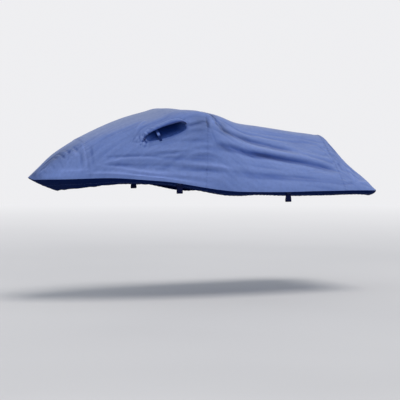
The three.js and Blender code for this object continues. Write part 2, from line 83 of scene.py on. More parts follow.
# %% [markdown]
# ## Shader maths as Python
# A finish is a net of nodes, and most of them only add and multiply. One could wire each by
# hand. A small class that wraps a socket is easier to read: it overloads the operators, so
# that `1 - mask * 0.4` adds its own Math nodes. Any other node comes from one method, which
# takes the node's type, its settings and the values or links of its sockets.


# %% A socket that joins in sums
def both_ways(operation):
    """The method of an operator, and its reflected form, for a plain number on its left."""
    return (
        lambda self, other: self.math(operation, self, other),
        lambda self, other: self.math(operation, other, self),
    )


class Wire:
    def __init__(self, net, socket):
        self.net = net
        self.socket = socket

    def math(self, operation, *values):
        inputs = dict(enumerate(values))
        return self.net.node("ShaderNodeMath", {"operation": operation}, inputs)

    __add__, __radd__ = both_ways("ADD")
    __sub__, __rsub__ = both_ways("SUBTRACT")
    __mul__, __rmul__ = both_ways("MULTIPLY")
    __truediv__, __rtruediv__ = both_ways("DIVIDE")
    __pow__, __rpow__ = both_ways("POWER")

    def sine(self):
        return self.math("SINE", self)

    def clamped(self):
        return self.math("MINIMUM", self.math("MAXIMUM", self, 0.0), 1.0)


print("operators on a socket:", [name for name in vars(Wire) if name.startswith("__r")])


# %% A net of nodes
class Net:
    """The nodes of a finish, of the sky, or of a tree that makes shapes."""

    def __init__(self, tree):
        self.tree = tree
        tree.nodes.clear()

    def node(self, kind, settings=(), inputs=(), out=0):
        made = self.tree.nodes.new(kind)
        for name, value in dict(settings).items():
            setattr(made, name, value)
        for name, value in dict(inputs).items():
            if isinstance(value, Wire):
                self.tree.links.new(value.socket, made.inputs[name])
            else:
                made.inputs[name].default_value = value
        return Wire(self, made.outputs[out]) if made.outputs else made


print("nets for finishes, sky and shapes ready")


# %% A finish and its nodes
MIX_FACTOR, MIX_A, MIX_B, MIX_OUT = 0, 6, 7, 2


class Finish(Net):
    def __init__(self, name):
        self.material = bpy.data.materials.new(name)
        self.material.use_nodes = True
        super().__init__(self.material.node_tree)

    def blend(self, factor, first, second):
        settings = {"data_type": "RGBA"}
        inputs = {MIX_FACTOR: factor, MIX_A: first, MIX_B: second}
        return self.node("ShaderNodeMix", settings, inputs, MIX_OUT)

    def shade(self, colour, amount):
        """The colour times an amount that varies over the surface."""
        plain = colour if isinstance(colour, Wire) else colour[:3]
        inputs = {0: plain, "Scale": amount}
        return self.node("ShaderNodeVectorMath", {"operation": "SCALE"}, inputs)

    def axes(self, vector):
        """The three numbers of a vector."""
        split = self.node("ShaderNodeSeparateXYZ", (), {0: vector}).socket.node
        return [Wire(self, output) for output in split.outputs]

    def coordinates(self, name):
        return self.node("ShaderNodeTexCoord", (), (), name)

    def mark(self, name):
        """A number that the mesh itself carries, such as the painted shade at a crease."""
        return self.node("ShaderNodeAttribute", {"attribute_name": name}, (), "Fac")

    def mottle(self, scale, detail=3):
        """Soft noise in the piece's own metres."""
        inputs = {"Vector": self.coordinates("Object"), "Scale": scale, "Detail": detail}
        return self.node("ShaderNodeTexNoise", (), inputs, "Fac")

    def bump(self, height, distance, strength):
        inputs = {"Height": height, "Distance": distance, "Strength": strength}
        return self.node("ShaderNodeBump", (), inputs)

    def close(self, values, glow_share=None, glow=None):
        """The shader of the finish, with a share of plain glow where one is given."""
        shader = self.node("ShaderNodeBsdfPrincipled", (), values)
        if glow:
            light = self.node("ShaderNodeEmission", (), {"Color": glow})
            shader = self.node("ShaderNodeMixShader", (), {0: glow_share, 1: shader, 2: light})
        self.node("ShaderNodeOutputMaterial", (), {"Surface": shader})
        return self.material


def opaque(red, green, blue):
    return (red, green, blue, 1.0)


print("shader helpers ready")

# %% [markdown]
# ## Floor and light
# A studio lights a cover from above with one very large soft box, and the pale floor throws
# some of it back up. A lamp close by would fall off along three metres of cloth. A wide sun
# with a soft edge has no such falloff, and a sky that is paler low down than overhead fills
# the shadows. The camera sees an even pale background instead of that sky.

# %% Build the studio
FLOOR_LEVEL = -1.645
FLOOR_REACH = 400.0
FLOOR_NEAR = opaque(0.52, 0.53, 0.56)
FLOOR_PALE = opaque(0.60, 0.61, 0.64)
FADE_FROM, FADE_OVER = 5.0, 9.0
BACKGROUND = opaque(0.86, 0.86, 0.88)
SKY_LOW = opaque(0.84, 0.88, 0.94)
SKY_HIGH = opaque(0.37, 0.38, 0.40)
SUN_COLOUR = (1.0, 0.94, 0.86)
SUN_STRENGTH = 1.9
SUN_WIDTH = math.radians(35)
SUN_LEAN = (math.radians(16), math.radians(12), 0)


def studio_floor():
    """A pale floor that turns into the background's own brightness far off."""
    finish = Finish("studio_floor")
    colour = finish.blend(finish.mottle(0.35, 2), FLOOR_NEAR, FLOOR_PALE)
    x, y, _ = finish.axes(finish.coordinates("Object"))
    far = (((x * x + y * y) ** 0.5 - FADE_FROM) / FADE_OVER).clamped()
    finish.close({"Base Color": colour, "Roughness": 0.7}, far, BACKGROUND)
    corners = [(-1, -1), (1, -1), (1, 1), (-1, 1)]
    mesh = bpy.data.meshes.new("studio_floor")
    points = [(x * FLOOR_REACH, y * FLOOR_REACH, FLOOR_LEVEL) for x, y in corners]
    mesh.from_pydata(points, [], [(0, 1, 2, 3)])
    mesh.materials.append(finish.material)
    return in_scene("studio_floor", mesh)


def studio_sky():
    world = bpy.data.worlds.new("studio_sky")
    world.use_nodes = True
    sky = Net(world.node_tree)
    direction = sky.node("ShaderNodeTexCoord", (), (), "Generated")
    height = sky.node("ShaderNodeSeparateXYZ", (), {0: direction}, "Z")
    ramp = sky.node("ShaderNodeValToRGB", (), {0: height})
    for stop, colour in zip(ramp.socket.node.color_ramp.elements, (SKY_LOW, SKY_HIGH)):
        stop.color = colour
    light = sky.node("ShaderNodeBackground", (), {"Color": ramp})
    seen = sky.node("ShaderNodeBackground", (), {"Color": BACKGROUND})
    by_camera = sky.node("ShaderNodeLightPath", (), (), "Is Camera Ray")
    mix = sky.node("ShaderNodeMixShader", (), {0: by_camera, 1: light, 2: seen})
    sky.node("ShaderNodeOutputWorld", (), {"Surface": mix})
    bpy.context.scene.world = world


def soft_sun():
    data = bpy.data.lights.new("soft_sun", "SUN")
    data.color = SUN_COLOUR
    data.energy = SUN_STRENGTH
    data.angle = SUN_WIDTH
    in_scene("soft_sun", data).rotation_euler = SUN_LEAN


studio_floor()
studio_sky()
soft_sun()
bpy.context.scene.view_settings.view_transform = "Standard"
print("floor at", FLOOR_LEVEL, "m, sun", SUN_STRENGTH, "W per square metre")

# %% [markdown]
# ## The cut of the cover
# The cover is known by its cross sections, as a cover maker knows a pattern. Each row of
# this table is one section, in millimetres: how high the ridge lies, and how far out and
# how high the crown, the shoulder, the flank and the rim lie. A smooth curve goes through
# the rows along the cover, and another through the five points across it. A sculpted mesh
# could do the same, but a table can be read, checked and corrected.

# %% Sections, hem and seams in millimetres
MM = 0.001
LENGTH = 3150
CREST_X = 1220
CAD_THICK = 2


def table(names, rows):
    """Columns by name, from lines of numbers."""
    numbers = np.array([line.split() for line in rows.strip().splitlines()], float)
    return dict(zip(names.split(), numbers.T))


SECTIONS = table("x ridgeUp crownHalf crownUp shoulderHalf shoulderUp flankHalf flankUp rimHalf rimUp", """
   0 140  12 139  24 135  36 128  46 121
 100 226  30 223  68 207 106 172 134 125
 200 313  44 309  98 285 158 225 205 127
 400 441  70 433 160 396 252 294 315 134
 600 536 100 526 222 480 328 349 396 139
 900 650 140 638 302 573 415 393 484 120
1120 708 160 694 345 629 462 412 528  99
1200 727 175 717 357 655 474 418 542  86
1430 706 230 705 388 683 500 434 573  46
1540 699 225 696 372 652 495 420 585  29
1700 672 180 665 312 591 470 374 596  12
1900 606 135 598 257 510 440 306 602   5
2150 568 110 560 227 462 422 267 603   0
2500 516 105 509 217 421 420 232 599   1
2720 488 100 482 222 389 424 205 592   0
2800 472 100 466 226 368 426 192 587   0
2940 278 128 276 275 238 448 142 577  -2
3080 108 150 106 300  96 450  68 563  -5
3150  24 150  24 290  22 410  15 515  -8
""")
HEM = table("x aft narrow drop round", """
   0 240   0.3 100 0.2
 100 170  0.34  96 0.2
 200 110  0.42  90 0.2
 400  50  0.65  78 0.3
 600  20   0.8  60 0.5
 850   0  0.88  42 0.9
1290   0   0.9  27   1
1650   0 0.903  42   1
1900   0 0.903  30   1
2250   0   0.9  34   1
2600   0   0.9  42   1
3000 -10   0.9  38   1
3150 -60   0.9  40   1
""")
HEM_WANDER = 3
HEM_WAVE = 150
BOW_SWEEP = 35
STERN_SWEEP = 30
END_REACH = 300
SEAM_CURVE = 1.5
PAST_RIM = 0.3

# Each panel ends at a seam, which runs from its place on the ridge to its place on the rim
PANELS = {
    "nose_panel": (455, 455),
    "hood_panel": (1555, 1420),
    "seat_panel": (2775, 2775),
    "tail_panel": (LENGTH, LENGTH),
}
print("rows of sections:", len(SECTIONS["x"]))

# %% [markdown]
# ## From the table to the taut cloth
# Along the cover the rows stand at uneven distances, so each column takes a cubic curve
# whose slopes are weighted by those distances. Across, the five points and two helpers past
# the ends take a plain smooth curve. `across` runs from -1 on the port rim over 0 on the
# ridge to 1 on the starboard rim.


# %% Smooth curves along and across
def along(columns, key, x):
    """One column of a table as a smooth curve, at each x."""
    at = columns["x"]
    value = columns[key]
    secant = np.diff(value) / np.diff(at)
    before, after = np.diff(at)[:-1], np.diff(at)[1:]
    slope = np.concatenate([
        secant[:1],
        (secant[:-1] * after + secant[1:] * before) / (before + after),
        secant[-1:],
    ])
    held = np.clip(x, at[0], at[-1])
    index = np.clip(np.searchsorted(at, held) - 1, 0, len(at) - 2)
    step = at[index + 1] - at[index]
    s = (held - at[index]) / step
    low, high = value[index], value[index + 1]
    start, end = slope[index] * step, slope[index + 1] * step
    cubic = 2 * low - 2 * high + start + end
    square = -3 * low + 3 * high - 2 * start - end
    return ((cubic * s + square) * s + start) * s + low


def through(a, b, c, d, s):
    """The smooth curve from b to c, at the share s of the way."""
    first = c - a
    second = 2 * a - 5 * b + 4 * c - d
    third = 3 * b - a - 3 * c + d
    return 0.5 * (2 * b + (first + (second + third * s) * s) * s)


print("height of the ridge at the crest:", along(SECTIONS, "ridgeUp", np.array([CREST_X])).round(1))


# %% A section, and the cloth through the sections
def section(x):
    """Half widths and heights of seven points at each x: the five, and a helper past each end."""
    ridge_up = along(SECTIONS, "ridgeUp", x)
    names = ("crown", "shoulder", "flank", "rim")
    crown, shoulder, flank, rim = (along(SECTIONS, name + "Half", x) for name in names)
    crown_up, shoulder_up, flank_up, rim_up = (along(SECTIONS, name + "Up", x) for name in names)
    past = rim + PAST_RIM * (flank - rim)
    halves = np.stack([-crown, 0 * crown, crown, shoulder, flank, rim, past])
    past_up = 2 * rim_up - flank_up
    ups = np.stack([crown_up, ridge_up, crown_up, shoulder_up, flank_up, rim_up, past_up])
    return halves, ups


def half_girth(x):
    halves, ups = section(x)
    return np.hypot(np.diff(halves[1:6], axis=0), np.diff(ups[1:6], axis=0)).sum(axis=0)


def taut(x, across):
    t = np.abs(across)
    halves, ups = section(x)
    k = np.minimum(np.floor(t * 4), 3).astype(int)
    s = t * 4 - k
    place = np.arange(len(x))
    half = through(*(halves[k + n, place] for n in range(4)), s)
    up = through(*(ups[k + n, place] for n in range(4)), s)
    bow = BOW_SWEEP * t * t * np.maximum(0, 1 - x / END_REACH)
    stern = STERN_SWEEP * t * t * np.maximum(0, (x - LENGTH + END_REACH) / END_REACH)
    return np.stack([x + bow - stern, np.sign(across) * half, up], axis=1)


def unit(vectors):
    return vectors / np.linalg.norm(vectors, axis=-1, keepdims=True)


def taut_normal(x, across):
    step_x, step_across = 5, 0.01
    fore, aft = np.maximum(x - step_x, 0), np.minimum(x + step_x, LENGTH)
    left, right = np.maximum(across - step_across, -1), np.minimum(across + step_across, 1)
    return unit(np.cross(taut(aft, across) - taut(fore, across), taut(x, right) - taut(x, left)))


CREST_UP = taut(np.array([float(CREST_X)]), np.array([0.0]))[0, 2]
SHIFT = np.array([-CREST_X, 0, CAD_THICK - CREST_UP])


def metres(points):
    """From the pattern's millimetres to the frame: the origin lies under the crest."""
    return (points + SHIFT) * MM


print("crest above the stern hem:", round(CREST_UP), "mm")

# %% [markdown]
# ## Folds and wrinkles
# Cloth that is wider than the space it spans falls into folds. On this cover they start at
# the handlebar grips and run aft along both flanks, and smaller ones lie along the front.
# A simulation would put folds where the solver likes. Here each is one row of a table: its
# side, where it starts and ends, how it sags, and how deep and wide it is. The depth follows
# a bell curve across the fold, with a pinched bottom and a soft roll above it. A negative
# depth raises a roll.

# %% The main folds
FOLD_NAMES = "side from to offFrom offTo sag depth width"
FOLDS = table(FOLD_NAMES, """
-1 1500 2740 0.766 0.780 -0.065 19 23
-1 1600 2430 0.613 0.646 -0.055 13 24
-1 1600 2790   0.9  0.91  -0.03  8 20
-1  660 1580 0.815 0.835  0.005  6 22
-1  480 1540  0.88 0.895  0.005  5 19
-1  840 1440  0.95 0.955  0.005  4 15
-1  560 1650  0.93  0.93   0.02 -6 24
-1 1545 1690  0.36   0.6   0.02  9 26
-1 1470 1560   0.5  0.76   0.02  4 22
-1 2815 3090  0.42  0.55   0.02  9 26
 1 1560 2660  0.75  0.77 -0.045 17 26
 1 1690 2330  0.53  0.61  -0.03 11 22
 1 1740 2700 0.875   0.9   0.01  8 22
 1  600 1420  0.82  0.85   0.01  7 24
 1  520 1600   0.9 0.885      0  5 20
 1  620 1560  0.94  0.93   0.01 -6 24
 1 1535 1660  0.38  0.57   0.02  8 26
 1 2830 3070   0.3   0.5   0.03  8 28
 1 2700 3090  0.72  0.85   0.02  7 24
""")
print("folds:", len(FOLDS["side"]))

# %% Wrinkles along the cover
WRINKLES = table(FOLD_NAMES, """
-1   60  300  0.22   0.3   0.03    3 12
-1  210  470  0.86   0.9   0.01   -3 11
-1  500 1060 0.872 0.858 -0.035 -4.5 12
-1  500 1180 0.868 0.962  0.022 -4.5 11
-1  400 1500  0.94 0.985  0.012   -8  9
-1  540  800 0.872 0.888      0    4  9
-1  560 1000 0.795 0.822  0.004  4.5  9
-1  960 1320 0.806 0.798      0  4.5  9
-1  960 1130  0.92  0.93      0    4  9
-1 1230 1640 0.912 0.898      0    5  9
-1 1220 1700 0.880 0.876      0   -7 10
-1 1000 1200 0.826 0.824      0   -4  8
-1 1060 1500 0.842  0.85      0    4  9
-1 1160 1540 0.722 0.742      0  4.5 12
-1 1290 1530  0.79 0.778      0    4 10
-1 1280 1520 0.828 0.824      0    4  8
-1  620 1240 0.953 0.972  0.004    4  8
-1 1270 1500 0.625 0.575  0.008    9 13
-1 1300 1490  0.66 0.655   0.01    4 12
-1  890 1190 0.744  0.70  0.008    5 13
-1  800  900 0.672 0.704      0    4 10
-1  840  980   0.6  0.42  -0.03   -5 14
-1  820  960  0.66  0.52  -0.03    4 10
-1  790  900   0.7   0.6  -0.02  3.5  9
-1 1600 2300  0.70 0.715  -0.03  3.5 14
-1 1650 2500 0.835 0.845  -0.02    3 12
-1 1900 2700  0.48  0.50   0.01  2.6 16
-1 1700 2050  0.42  0.50   0.02  3.5 14
-1 2380 2760  0.62  0.70   0.01    3 13
-1 2560 2780  0.72  0.80   0.01    3 12
-1 2680 2830  0.52   0.6   0.03    4 13
-1 2700 2860  0.62  0.66  -0.03    4 12
-1 2720 2930  0.92  0.88   0.02  4.5 12
-1 2820 2960  0.76  0.84  -0.02    4 12
-1 2790 2960  0.28  0.36   0.01    3 15
-1 2776 3076  0.07  0.16  0.015    4 22
-1 2890 3120  0.24  0.28  -0.01    3 17
-1 2800 3060  0.66  0.74   0.01    3 16
-1 2840 3110  0.86  0.93   0.01    3 13
-1 2880 3080   0.9   0.8   0.02   -4 14
 1   70  310  0.22   0.3   0.03    3 12
 1  520 1060  0.87  0.86  -0.03 -4.5 12
 1  420 1480  0.94  0.98  0.012   -7 10
 1  560  980   0.8 0.825  0.004  4.5 10
 1  980 1340  0.81   0.8      0  4.5  9
 1 1250 1620  0.91   0.9      0    5  9
 1 1080 1480 0.845  0.85      0    4  9
 1 1180 1530 0.725 0.742      0  4.5 12
 1  640 1220 0.955  0.97  0.004    4  8
 1 1270 1490  0.63  0.58  0.008    6 12
 1  850  990   0.6  0.43  -0.03   -5 14
 1  820  960  0.66  0.53  -0.03    4 10
 1 1620 2280  0.69  0.71  -0.03  3.5 14
 1 1700 2480  0.82  0.84  -0.01    3 13
 1 1880 2650  0.46  0.49   0.01  2.6 16
 1 2420 2770  0.63   0.7   0.01    3 13
 1 2700 2850   0.5  0.58   0.03    4 13
 1 2740 2920   0.9  0.88   0.02  4.5 12
 1 2790 2950   0.3  0.38   0.01    3 15
 1 2800 3100  0.16  0.07  -0.01  3.5 19
 1 2810 3050  0.62   0.7   0.01    3 16
""")
print("wrinkles along the cover:", len(WRINKLES["side"]))

# %% Wrinkles up and down its sides
CROSS_WRINKLES = table("side from to offFrom offTo depth width", """
-1 0.38 0.92  447  412  -6 12
-1 0.55 0.86  484  471   5 13
-1 0.60 0.88  396  384 3.5 12
-1 0.36 0.66  358  392   5 11
-1 0.46 0.70  352  362  -4 12
-1 0.26 0.66  242  277   7  9
-1 0.24 0.56  272  304  -5 10
-1 0.30 0.54  208  224   6  9
-1 0.28 0.50  228  246  -4  8
-1 0.40 0.62  312  330   4 10
-1 0.40 0.56  112  118   6  9
-1 0.50 0.66   86   92  -5  9
-1 0.54 0.78  166  176   4 12
-1 0.64 0.84  234  240 3.5 10
-1 0.22 0.46 1618 1628   8 22
-1 0.50 0.68 1510 1478   8 11
-1 0.50 0.64 1546 1520  -4 12
-1 0.46 0.58 1600 1592   4 12
-1 0.36 0.60 2812 2838   4 14
-1 0.62 0.80 2790 2812   4 13
-1 0.72 0.92 2900 2880  -4 16
 1 0.40 0.88  444  416  -5 15
 1 0.55 0.84  480  472 4.5 14
 1 0.28 0.62  254  284   5 10
 1 0.36 0.62  352  380   4 11
 1 0.30 0.52  204  222   4 10
 1 0.24 0.46 1614 1624   7 22
 1 0.48 0.66 1514 1486 4.5 12
 1 0.38 0.60 2814 2836   4 14
""")
print("wrinkles up and down:", len(CROSS_WRINKLES["side"]))

# %% Soft patches of painted shade, and a few paler ones
PATCHES = table("side x across reachX reachAcross dark", """
-1 1440  0.58  90  0.07  0.24
-1 1582 0.445  28 0.055  0.50
-1 1570  0.33  36  0.10  0.20
-1 1592 0.545  12 0.018  0.34
-1 1695  0.50  45  0.04  0.15
-1 1655  0.60  80  0.07  0.14
-1 1625 0.757  80 0.020  0.26
-1 1000 0.975 420  0.03 -0.08
-1 1080     0 300  0.50  0.10
-1 1490  0.59  14  0.04   0.4
-1 1556  0.55  16  0.03 -0.22
-1 1650  0.56  40  0.05  0.22
-1 1725 0.595  75 0.028  0.32
-1 1890 0.565  80 0.024  0.22
-1 1380  0.66 120  0.06  0.14
-1   30  0.50  40  0.60  0.30
-1  150  0.30 130  0.26  0.33
-1  290  0.36 130  0.26  0.22
-1  230  0.90 150  0.10 -0.16
-1  440  0.70  60  0.16  0.08
-1  860  0.62  60  0.08  0.10
-1 2830  0.40  60  0.20  0.14
 1 1480  0.52 130  0.10  0.24
 1 1585  0.44  30  0.06  0.40
 1   30  0.50  40  0.60  0.26
 1  160  0.30 130  0.26  0.24
 1  300  0.36 130  0.26  0.14
 1  870  0.62  60  0.08  0.10
""")
print("soft patches:", len(PATCHES["side"]))

# %% Where the cloth is crushed into small hollows and bumps
CRUMPLES = table("side x across reachX reachAcross deep size", """
-1  905 0.672  48 0.055  13 24
-1 1290 0.590  40 0.035   4 26
-1   95  0.55  60  0.18   5 22
-1  330  0.56 100  0.16 3.5 30
-1 2790  0.56  90  0.16   3 30
-1 2880  0.72 110  0.14   3 36
-1 1590  0.50  60  0.07   4 26
 1  905 0.672  48 0.055  12 24
 1   95  0.55  60  0.18 4.5 22
 1  320  0.54 100  0.16 3.5 30
 1 2800  0.60 110  0.16   3 32
 1 1590  0.50  60  0.07   4 26
""")
CRUMPLE_SHADING = 0.27
CRUMPLE_FAR = 5
print("crushed places:", len(CRUMPLES["side"]))

# %% How a row shapes the cloth and paints shade on it
# Each crease gets a dark line of painted shade, and its banks and raised rolls painted highlight
TAPER, CROSS_TAPER = 0.6, 0.8
ROLL_SHARE, ROLL_OFFSET, ROLL_SPREAD = 0.45, 1.7, 1.3
PINCH_SHARE, PINCH_NARROW = 0.25, 2.6
LINE_NARROW, LINE_LOWER, LINE_BROADER = 1.25, 0.35, 28
BANK_AWAY, BANK_WIDE, BANK_PALE = 2.0, 0.7, 0.3
DEEP_FOLD, PALE_ROLL = 14, 7


def bell(away):
    return np.exp(-away * away)


def crease_shading(deep, away):
    """Painted shade in a crease, or below zero painted highlight on a roll, by distance from its middle.
    """
    if deep < 0:
        return deep / PALE_ROLL * bell(away)
    line = np.exp(-(((away - LINE_LOWER) * LINE_NARROW / (1 + deep / LINE_BROADER)) ** 4))
    banks = bell((np.abs(away) - BANK_AWAY) / BANK_WIDE)
    return deep / DEEP_FOLD * (line - BANK_PALE * banks)


def drawn_in(away):
    """A fold across its run: a bell with a pinched bottom, and a soft roll beside it."""
    roll = ROLL_SHARE * bell((away + ROLL_OFFSET) / ROLL_SPREAD)
    return bell(away) - roll + PINCH_SHARE * bell(away * PINCH_NARROW)


def folded(rows, port_or_starboard, run, off, scale, taper_power, profile):
    """How far the rows draw the cloth in, and the painted shade or highlight at each point.

    A row runs from one place to another along `run`, and lies at `off` from it.
    """
    depth = np.zeros(len(run))
    painted_shading = np.zeros(len(run))
    for side, start, end, off_start, off_end, *sag, deep, width in zip(*rows.values()):
        s = (run - start) / (end - start)
        inside = (s > 0) & (s < 1) & (port_or_starboard == side)
        s = np.where(inside, s, 0.5)
        middle = off_start + (off_end - off_start) * s + 4 * sum(sag) * s * (1 - s)
        away = (off - middle) * scale / width
        taper = np.where(inside, np.sin(np.pi * s) ** taper_power, 0)
        depth += deep * taper * profile(away)
        painted_shading += taper * crease_shading(deep, away)
    return depth, painted_shading


def noise_at(first, second, seed):
    first, second = np.broadcast_arrays(first, second)
    pairs = zip(first.ravel().tolist(), second.ravel().tolist())
    return np.array([noise.noise((a, b, seed)) for a, b in pairs]).reshape(first.shape)


def beyond(x, across, side, at_x, at_across, reach_x, reach_across):
    """The square of how many reaches each point lies from a soft-edged place."""
    return ((x - at_x) / reach_x) ** 2 + ((side * across - at_across) / reach_across) ** 2


def crumpled(x, across, girth):
    """Small hollows and bumps in a few soft-edged places, and their painted shade and highlight."""
    rise = np.zeros(len(x))
    for *place, deep, size in zip(*CRUMPLES.values()):
        away = beyond(x, across, *place)
        near = away < CRUMPLE_FAR
        first, second = x[near] / size, across[near] * girth[near] / size
        bumps = noise_at(first, second, 27.3) + 0.5 * noise_at(2 * first, 2 * second, 31.8)
        rise[near] += deep * bumps * np.exp(-away[near])
    # Painted shade in the hollows, painted highlight on the bumps
    return rise, -CRUMPLE_SHADING * rise


# Painted shade in soft patches, and paler where the amount is below zero
def darkened(x, across):
    amount = np.zeros(len(x))
    for *place, dark in zip(*PATCHES.values()):
        amount += dark * np.exp(-beyond(x, across, *place))
    return amount


print("a fold's middle and bank:", drawn_in(np.array([0.0, ROLL_OFFSET])).round(2))

# %% [markdown]
# ## Unevenness, seams and laps
# No cloth is as smooth as its pattern. Some small effects are added to the folds. A slow
# noise, long fore and aft and short up and down, makes the streaks that tension leaves, and
# the places where a finer one passes through zero make the narrow crimps between them.
# Along each seam the thread draws the cloth into fine puckers. And the seams are lapped:
# the aft panel starts a finger's width ahead of the seam and lies over the fore one.

# %% Sizes of the small effects, and where the seams run
LAP = 12
LAP_LIFT = 1.35
LAP_EASE = 10
STREAK_LONG, STREAK_TALL, STREAK_DEEP, STREAK_SHADING = 240, 30, 3.4, 0.35
CRIMP_LONG, CRIMP_TALL, CRIMP_DEEP, CRIMP_SPREAD = 130, 19, 1.5, 0.3
SWELL_LONG, SWELL_TALL, SWELL_DEEP = 420, 210, 3.0
PUCKER_WAVE, PUCKER_REACH, PUCKER_DEEP = 27, 34, 1.3
WANDER_WAVE, WANDER_DEEP = 90, 2.5
STREAK_FROM, STREAK_FULL = 0.22, 0.5
RIM_FADE, WRINKLE_RIM_FADE = 0.05, 0.035
WRINKLE_SHADING = 0.9


def smooth_step(low, high, value):
    """0 up to low, 1 from high on, and an easy curve between them."""
    s = np.clip((value - low) / (high - low), 0, 1)
    return s * s * (3 - 2 * s)


def seam_x(panel, across):
    ridge_x, rim_x = PANELS[panel]
    return ridge_x + (rim_x - ridge_x) * np.abs(across) ** SEAM_CURVE


def panel_before(panel):
    names = list(PANELS)
    place = names.index(panel)
    return names[place - 1] if place else None


print("lap of", LAP, "mm at each of", len(PANELS) - 1, "seams")


# %% The full relief
def relief(x, across, panel):
    """How far the cloth stands proud of the taut shape, and its painted shade or highlight."""
    girth = half_girth(x)
    arc = across * girth
    t = np.abs(across)
    side = np.sign(across)
    fold, fold_shading = folded(FOLDS, side, x, t, girth, TAPER, drawn_in)
    wrinkle, wrinkle_shading = folded(WRINKLES, side, x, t, girth, TAPER, drawn_in)
    cross, cross_shading = folded(CROSS_WRINKLES, side, t, x, 1, CROSS_TAPER, bell)
    edge = np.minimum(1, (1 - t) / RIM_FADE)
    wrinkle *= smooth_step(0, WRINKLE_RIM_FADE, 1 - t)
    streak = noise_at(x / STREAK_LONG, arc / STREAK_TALL, 3.7)
    crimp = noise_at(x / CRIMP_LONG, arc / CRIMP_TALL, 21.9)
    crimp = np.maximum(0, 1 - np.abs(crimp) / CRIMP_SPREAD)
    swell = noise_at(x / SWELL_LONG, arc / SWELL_TALL, 11.3)
    lower = smooth_step(STREAK_FROM, STREAK_FULL, t)
    rise = (streak * STREAK_DEEP + crimp * CRIMP_DEEP) * lower
    crumple, crumple_crease = crumpled(x, across, girth)
    rise = (rise + swell * SWELL_DEEP + crumple - fold - cross) * edge - wrinkle
    wander = WANDER_DEEP * noise_at(arc / WANDER_WAVE, 0, 5.1)
    for name in list(PANELS)[:-1]:
        ripple = np.sin(2 * np.pi * arc / PUCKER_WAVE + wander)
        rise += PUCKER_DEEP * ripple * bell((x - seam_x(name, across)) / PUCKER_REACH) * edge
    before = panel_before(panel)
    if before:
        rise += LAP_LIFT * (1 - smooth_step(0, LAP_EASE, x - seam_x(before, across)))
    # Painted shade and highlight of the folds, wrinkles, crumples, streaks and vent edges
    painted_shading = fold_shading + (wrinkle_shading + cross_shading) * WRINKLE_SHADING
    # Painted highlight along the streaks' ridges, painted shade between them
    painted_shading += crumple_crease - streak * lower * STREAK_SHADING
    if panel == "hood_panel":
        for vent in VENTS.values():
            bead, shade = vent.around(x, across)
            rise += bead
            painted_shading += shade
    return rise, np.clip(painted_shading, -1, 2)


def surface(x, across, panel):
    rise, painted_shading = relief(x, across, panel)
    return taut(x, across) + rise[:, None] * taut_normal(x, across), painted_shading


print("streaks", STREAK_LONG, "mm long, puckers every", PUCKER_WAVE, "mm")

# %% [markdown]
# ## The turned-in hem
# Below the rim the cloth turns under and an elastic cord in its edge draws it in. At the bow
# it runs straight back under the keel, and along the sides it rolls in a quarter turn. The
# cord is shorter than the cloth, so the edge is gathered. The hem could be a separate strip,
# but a hem is the same cloth turned over, so it continues the panel's own grid.

# %% Hem below a chain of rim points
HEM_STEPS = 12
GATHER_WAVE, GATHER_DEEP, GATHER_GROWS, GATHER_DRIFT = 38, 2.6, 1.3, 6
GATHER_SLOW, GATHER_QUICK = 170, 60
GATHER_LEAST, GATHER_SLOW_SHARE, GATHER_QUICK_SHARE = 0.7, 0.9, 1.1
BEAD_AT, BEAD_WIDE, BEAD_PROUD = 0.88, 0.1, 2.2
LOOP_PLACES = {"fore": 1180, "aft": 2190}
LOOP_CALM = 40


def hem_points(rim, x, shares):
    side = np.sign(rim[:, 1])
    drop = along(HEM, "drop", x) + HEM_WANDER * np.sin(x / HEM_WAVE + side)
    edge = np.stack([
        rim[:, 0] + along(HEM, "aft", x),
        rim[:, 1] * along(HEM, "narrow", x),
        rim[:, 2] - drop,
    ], axis=1)[:, None]
    turn = shares * np.pi / 2
    rolled = along(HEM, "round", x)[:, None]
    inward = shares + (1 - np.cos(turn) - shares) * rolled
    down = shares + (np.sin(turn) - shares) * rolled
    share = np.stack([inward, inward, down], axis=2)
    return rim[:, None] + (edge - rim[:, None]) * share


def gathered(points, normals, share):
    """The hem's gathers, flat where webbing is sewn on, and the bead that the cord makes."""
    x, y = points[:, 0], points[:, 1]
    slow = noise_at(x / GATHER_SLOW, y / GATHER_SLOW, 8.2)
    quick = noise_at(x / GATHER_QUICK, y / GATHER_QUICK, 2.4)
    waves = np.sin(2 * np.pi * (x + y) / GATHER_WAVE + GATHER_DRIFT * slow)
    uneven = GATHER_LEAST + GATHER_SLOW_SHARE * slow + GATHER_QUICK_SHARE * quick
    gather = GATHER_DEEP * waves * share ** GATHER_GROWS * uneven
    for loop_x in LOOP_PLACES.values():
        gather *= 1 - bell((x - loop_x) / LOOP_CALM)
    bead = BEAD_PROUD * bell((share - BEAD_AT) / BEAD_WIDE)
    return points + normals * (gather + bead * (share > 0))[:, None]


print("hem in", HEM_STEPS, "steps, gathers every", GATHER_WAVE, "mm")

# %% [markdown]
# ## Side vents
# Each vent is a slanted oval hole with blunt ends in the hood panel, with a hood of the same
# cloth over it. It reaches further up than down from the line between its two tips. A vent is
# easiest to lay out in its own two directions: `a` along the slot and `b` up from it. The
# class below turns those into a place on the curved cloth and back.

# %% Where a vent lies
VENT_X, VENT_ACROSS, VENT_RISE = 1104, 0.632, 0.27
TIP_DROP = 24
HOLE_HALF, HOLE_LOW, HOLE_HIGH = 184, 26, 90
OVAL_POWER = 2.6
HOLE_HEM_AT, HOLE_HEM_WIDE, HOLE_HEM_PROUD = 7, 6, 2.2
HOLE_SHADE, HOLE_SHADE_WIDE = 0.9, 14
SIDES = {"port": -1, "starboard": 1}
TINY, FAR = 1e-6, 1e6


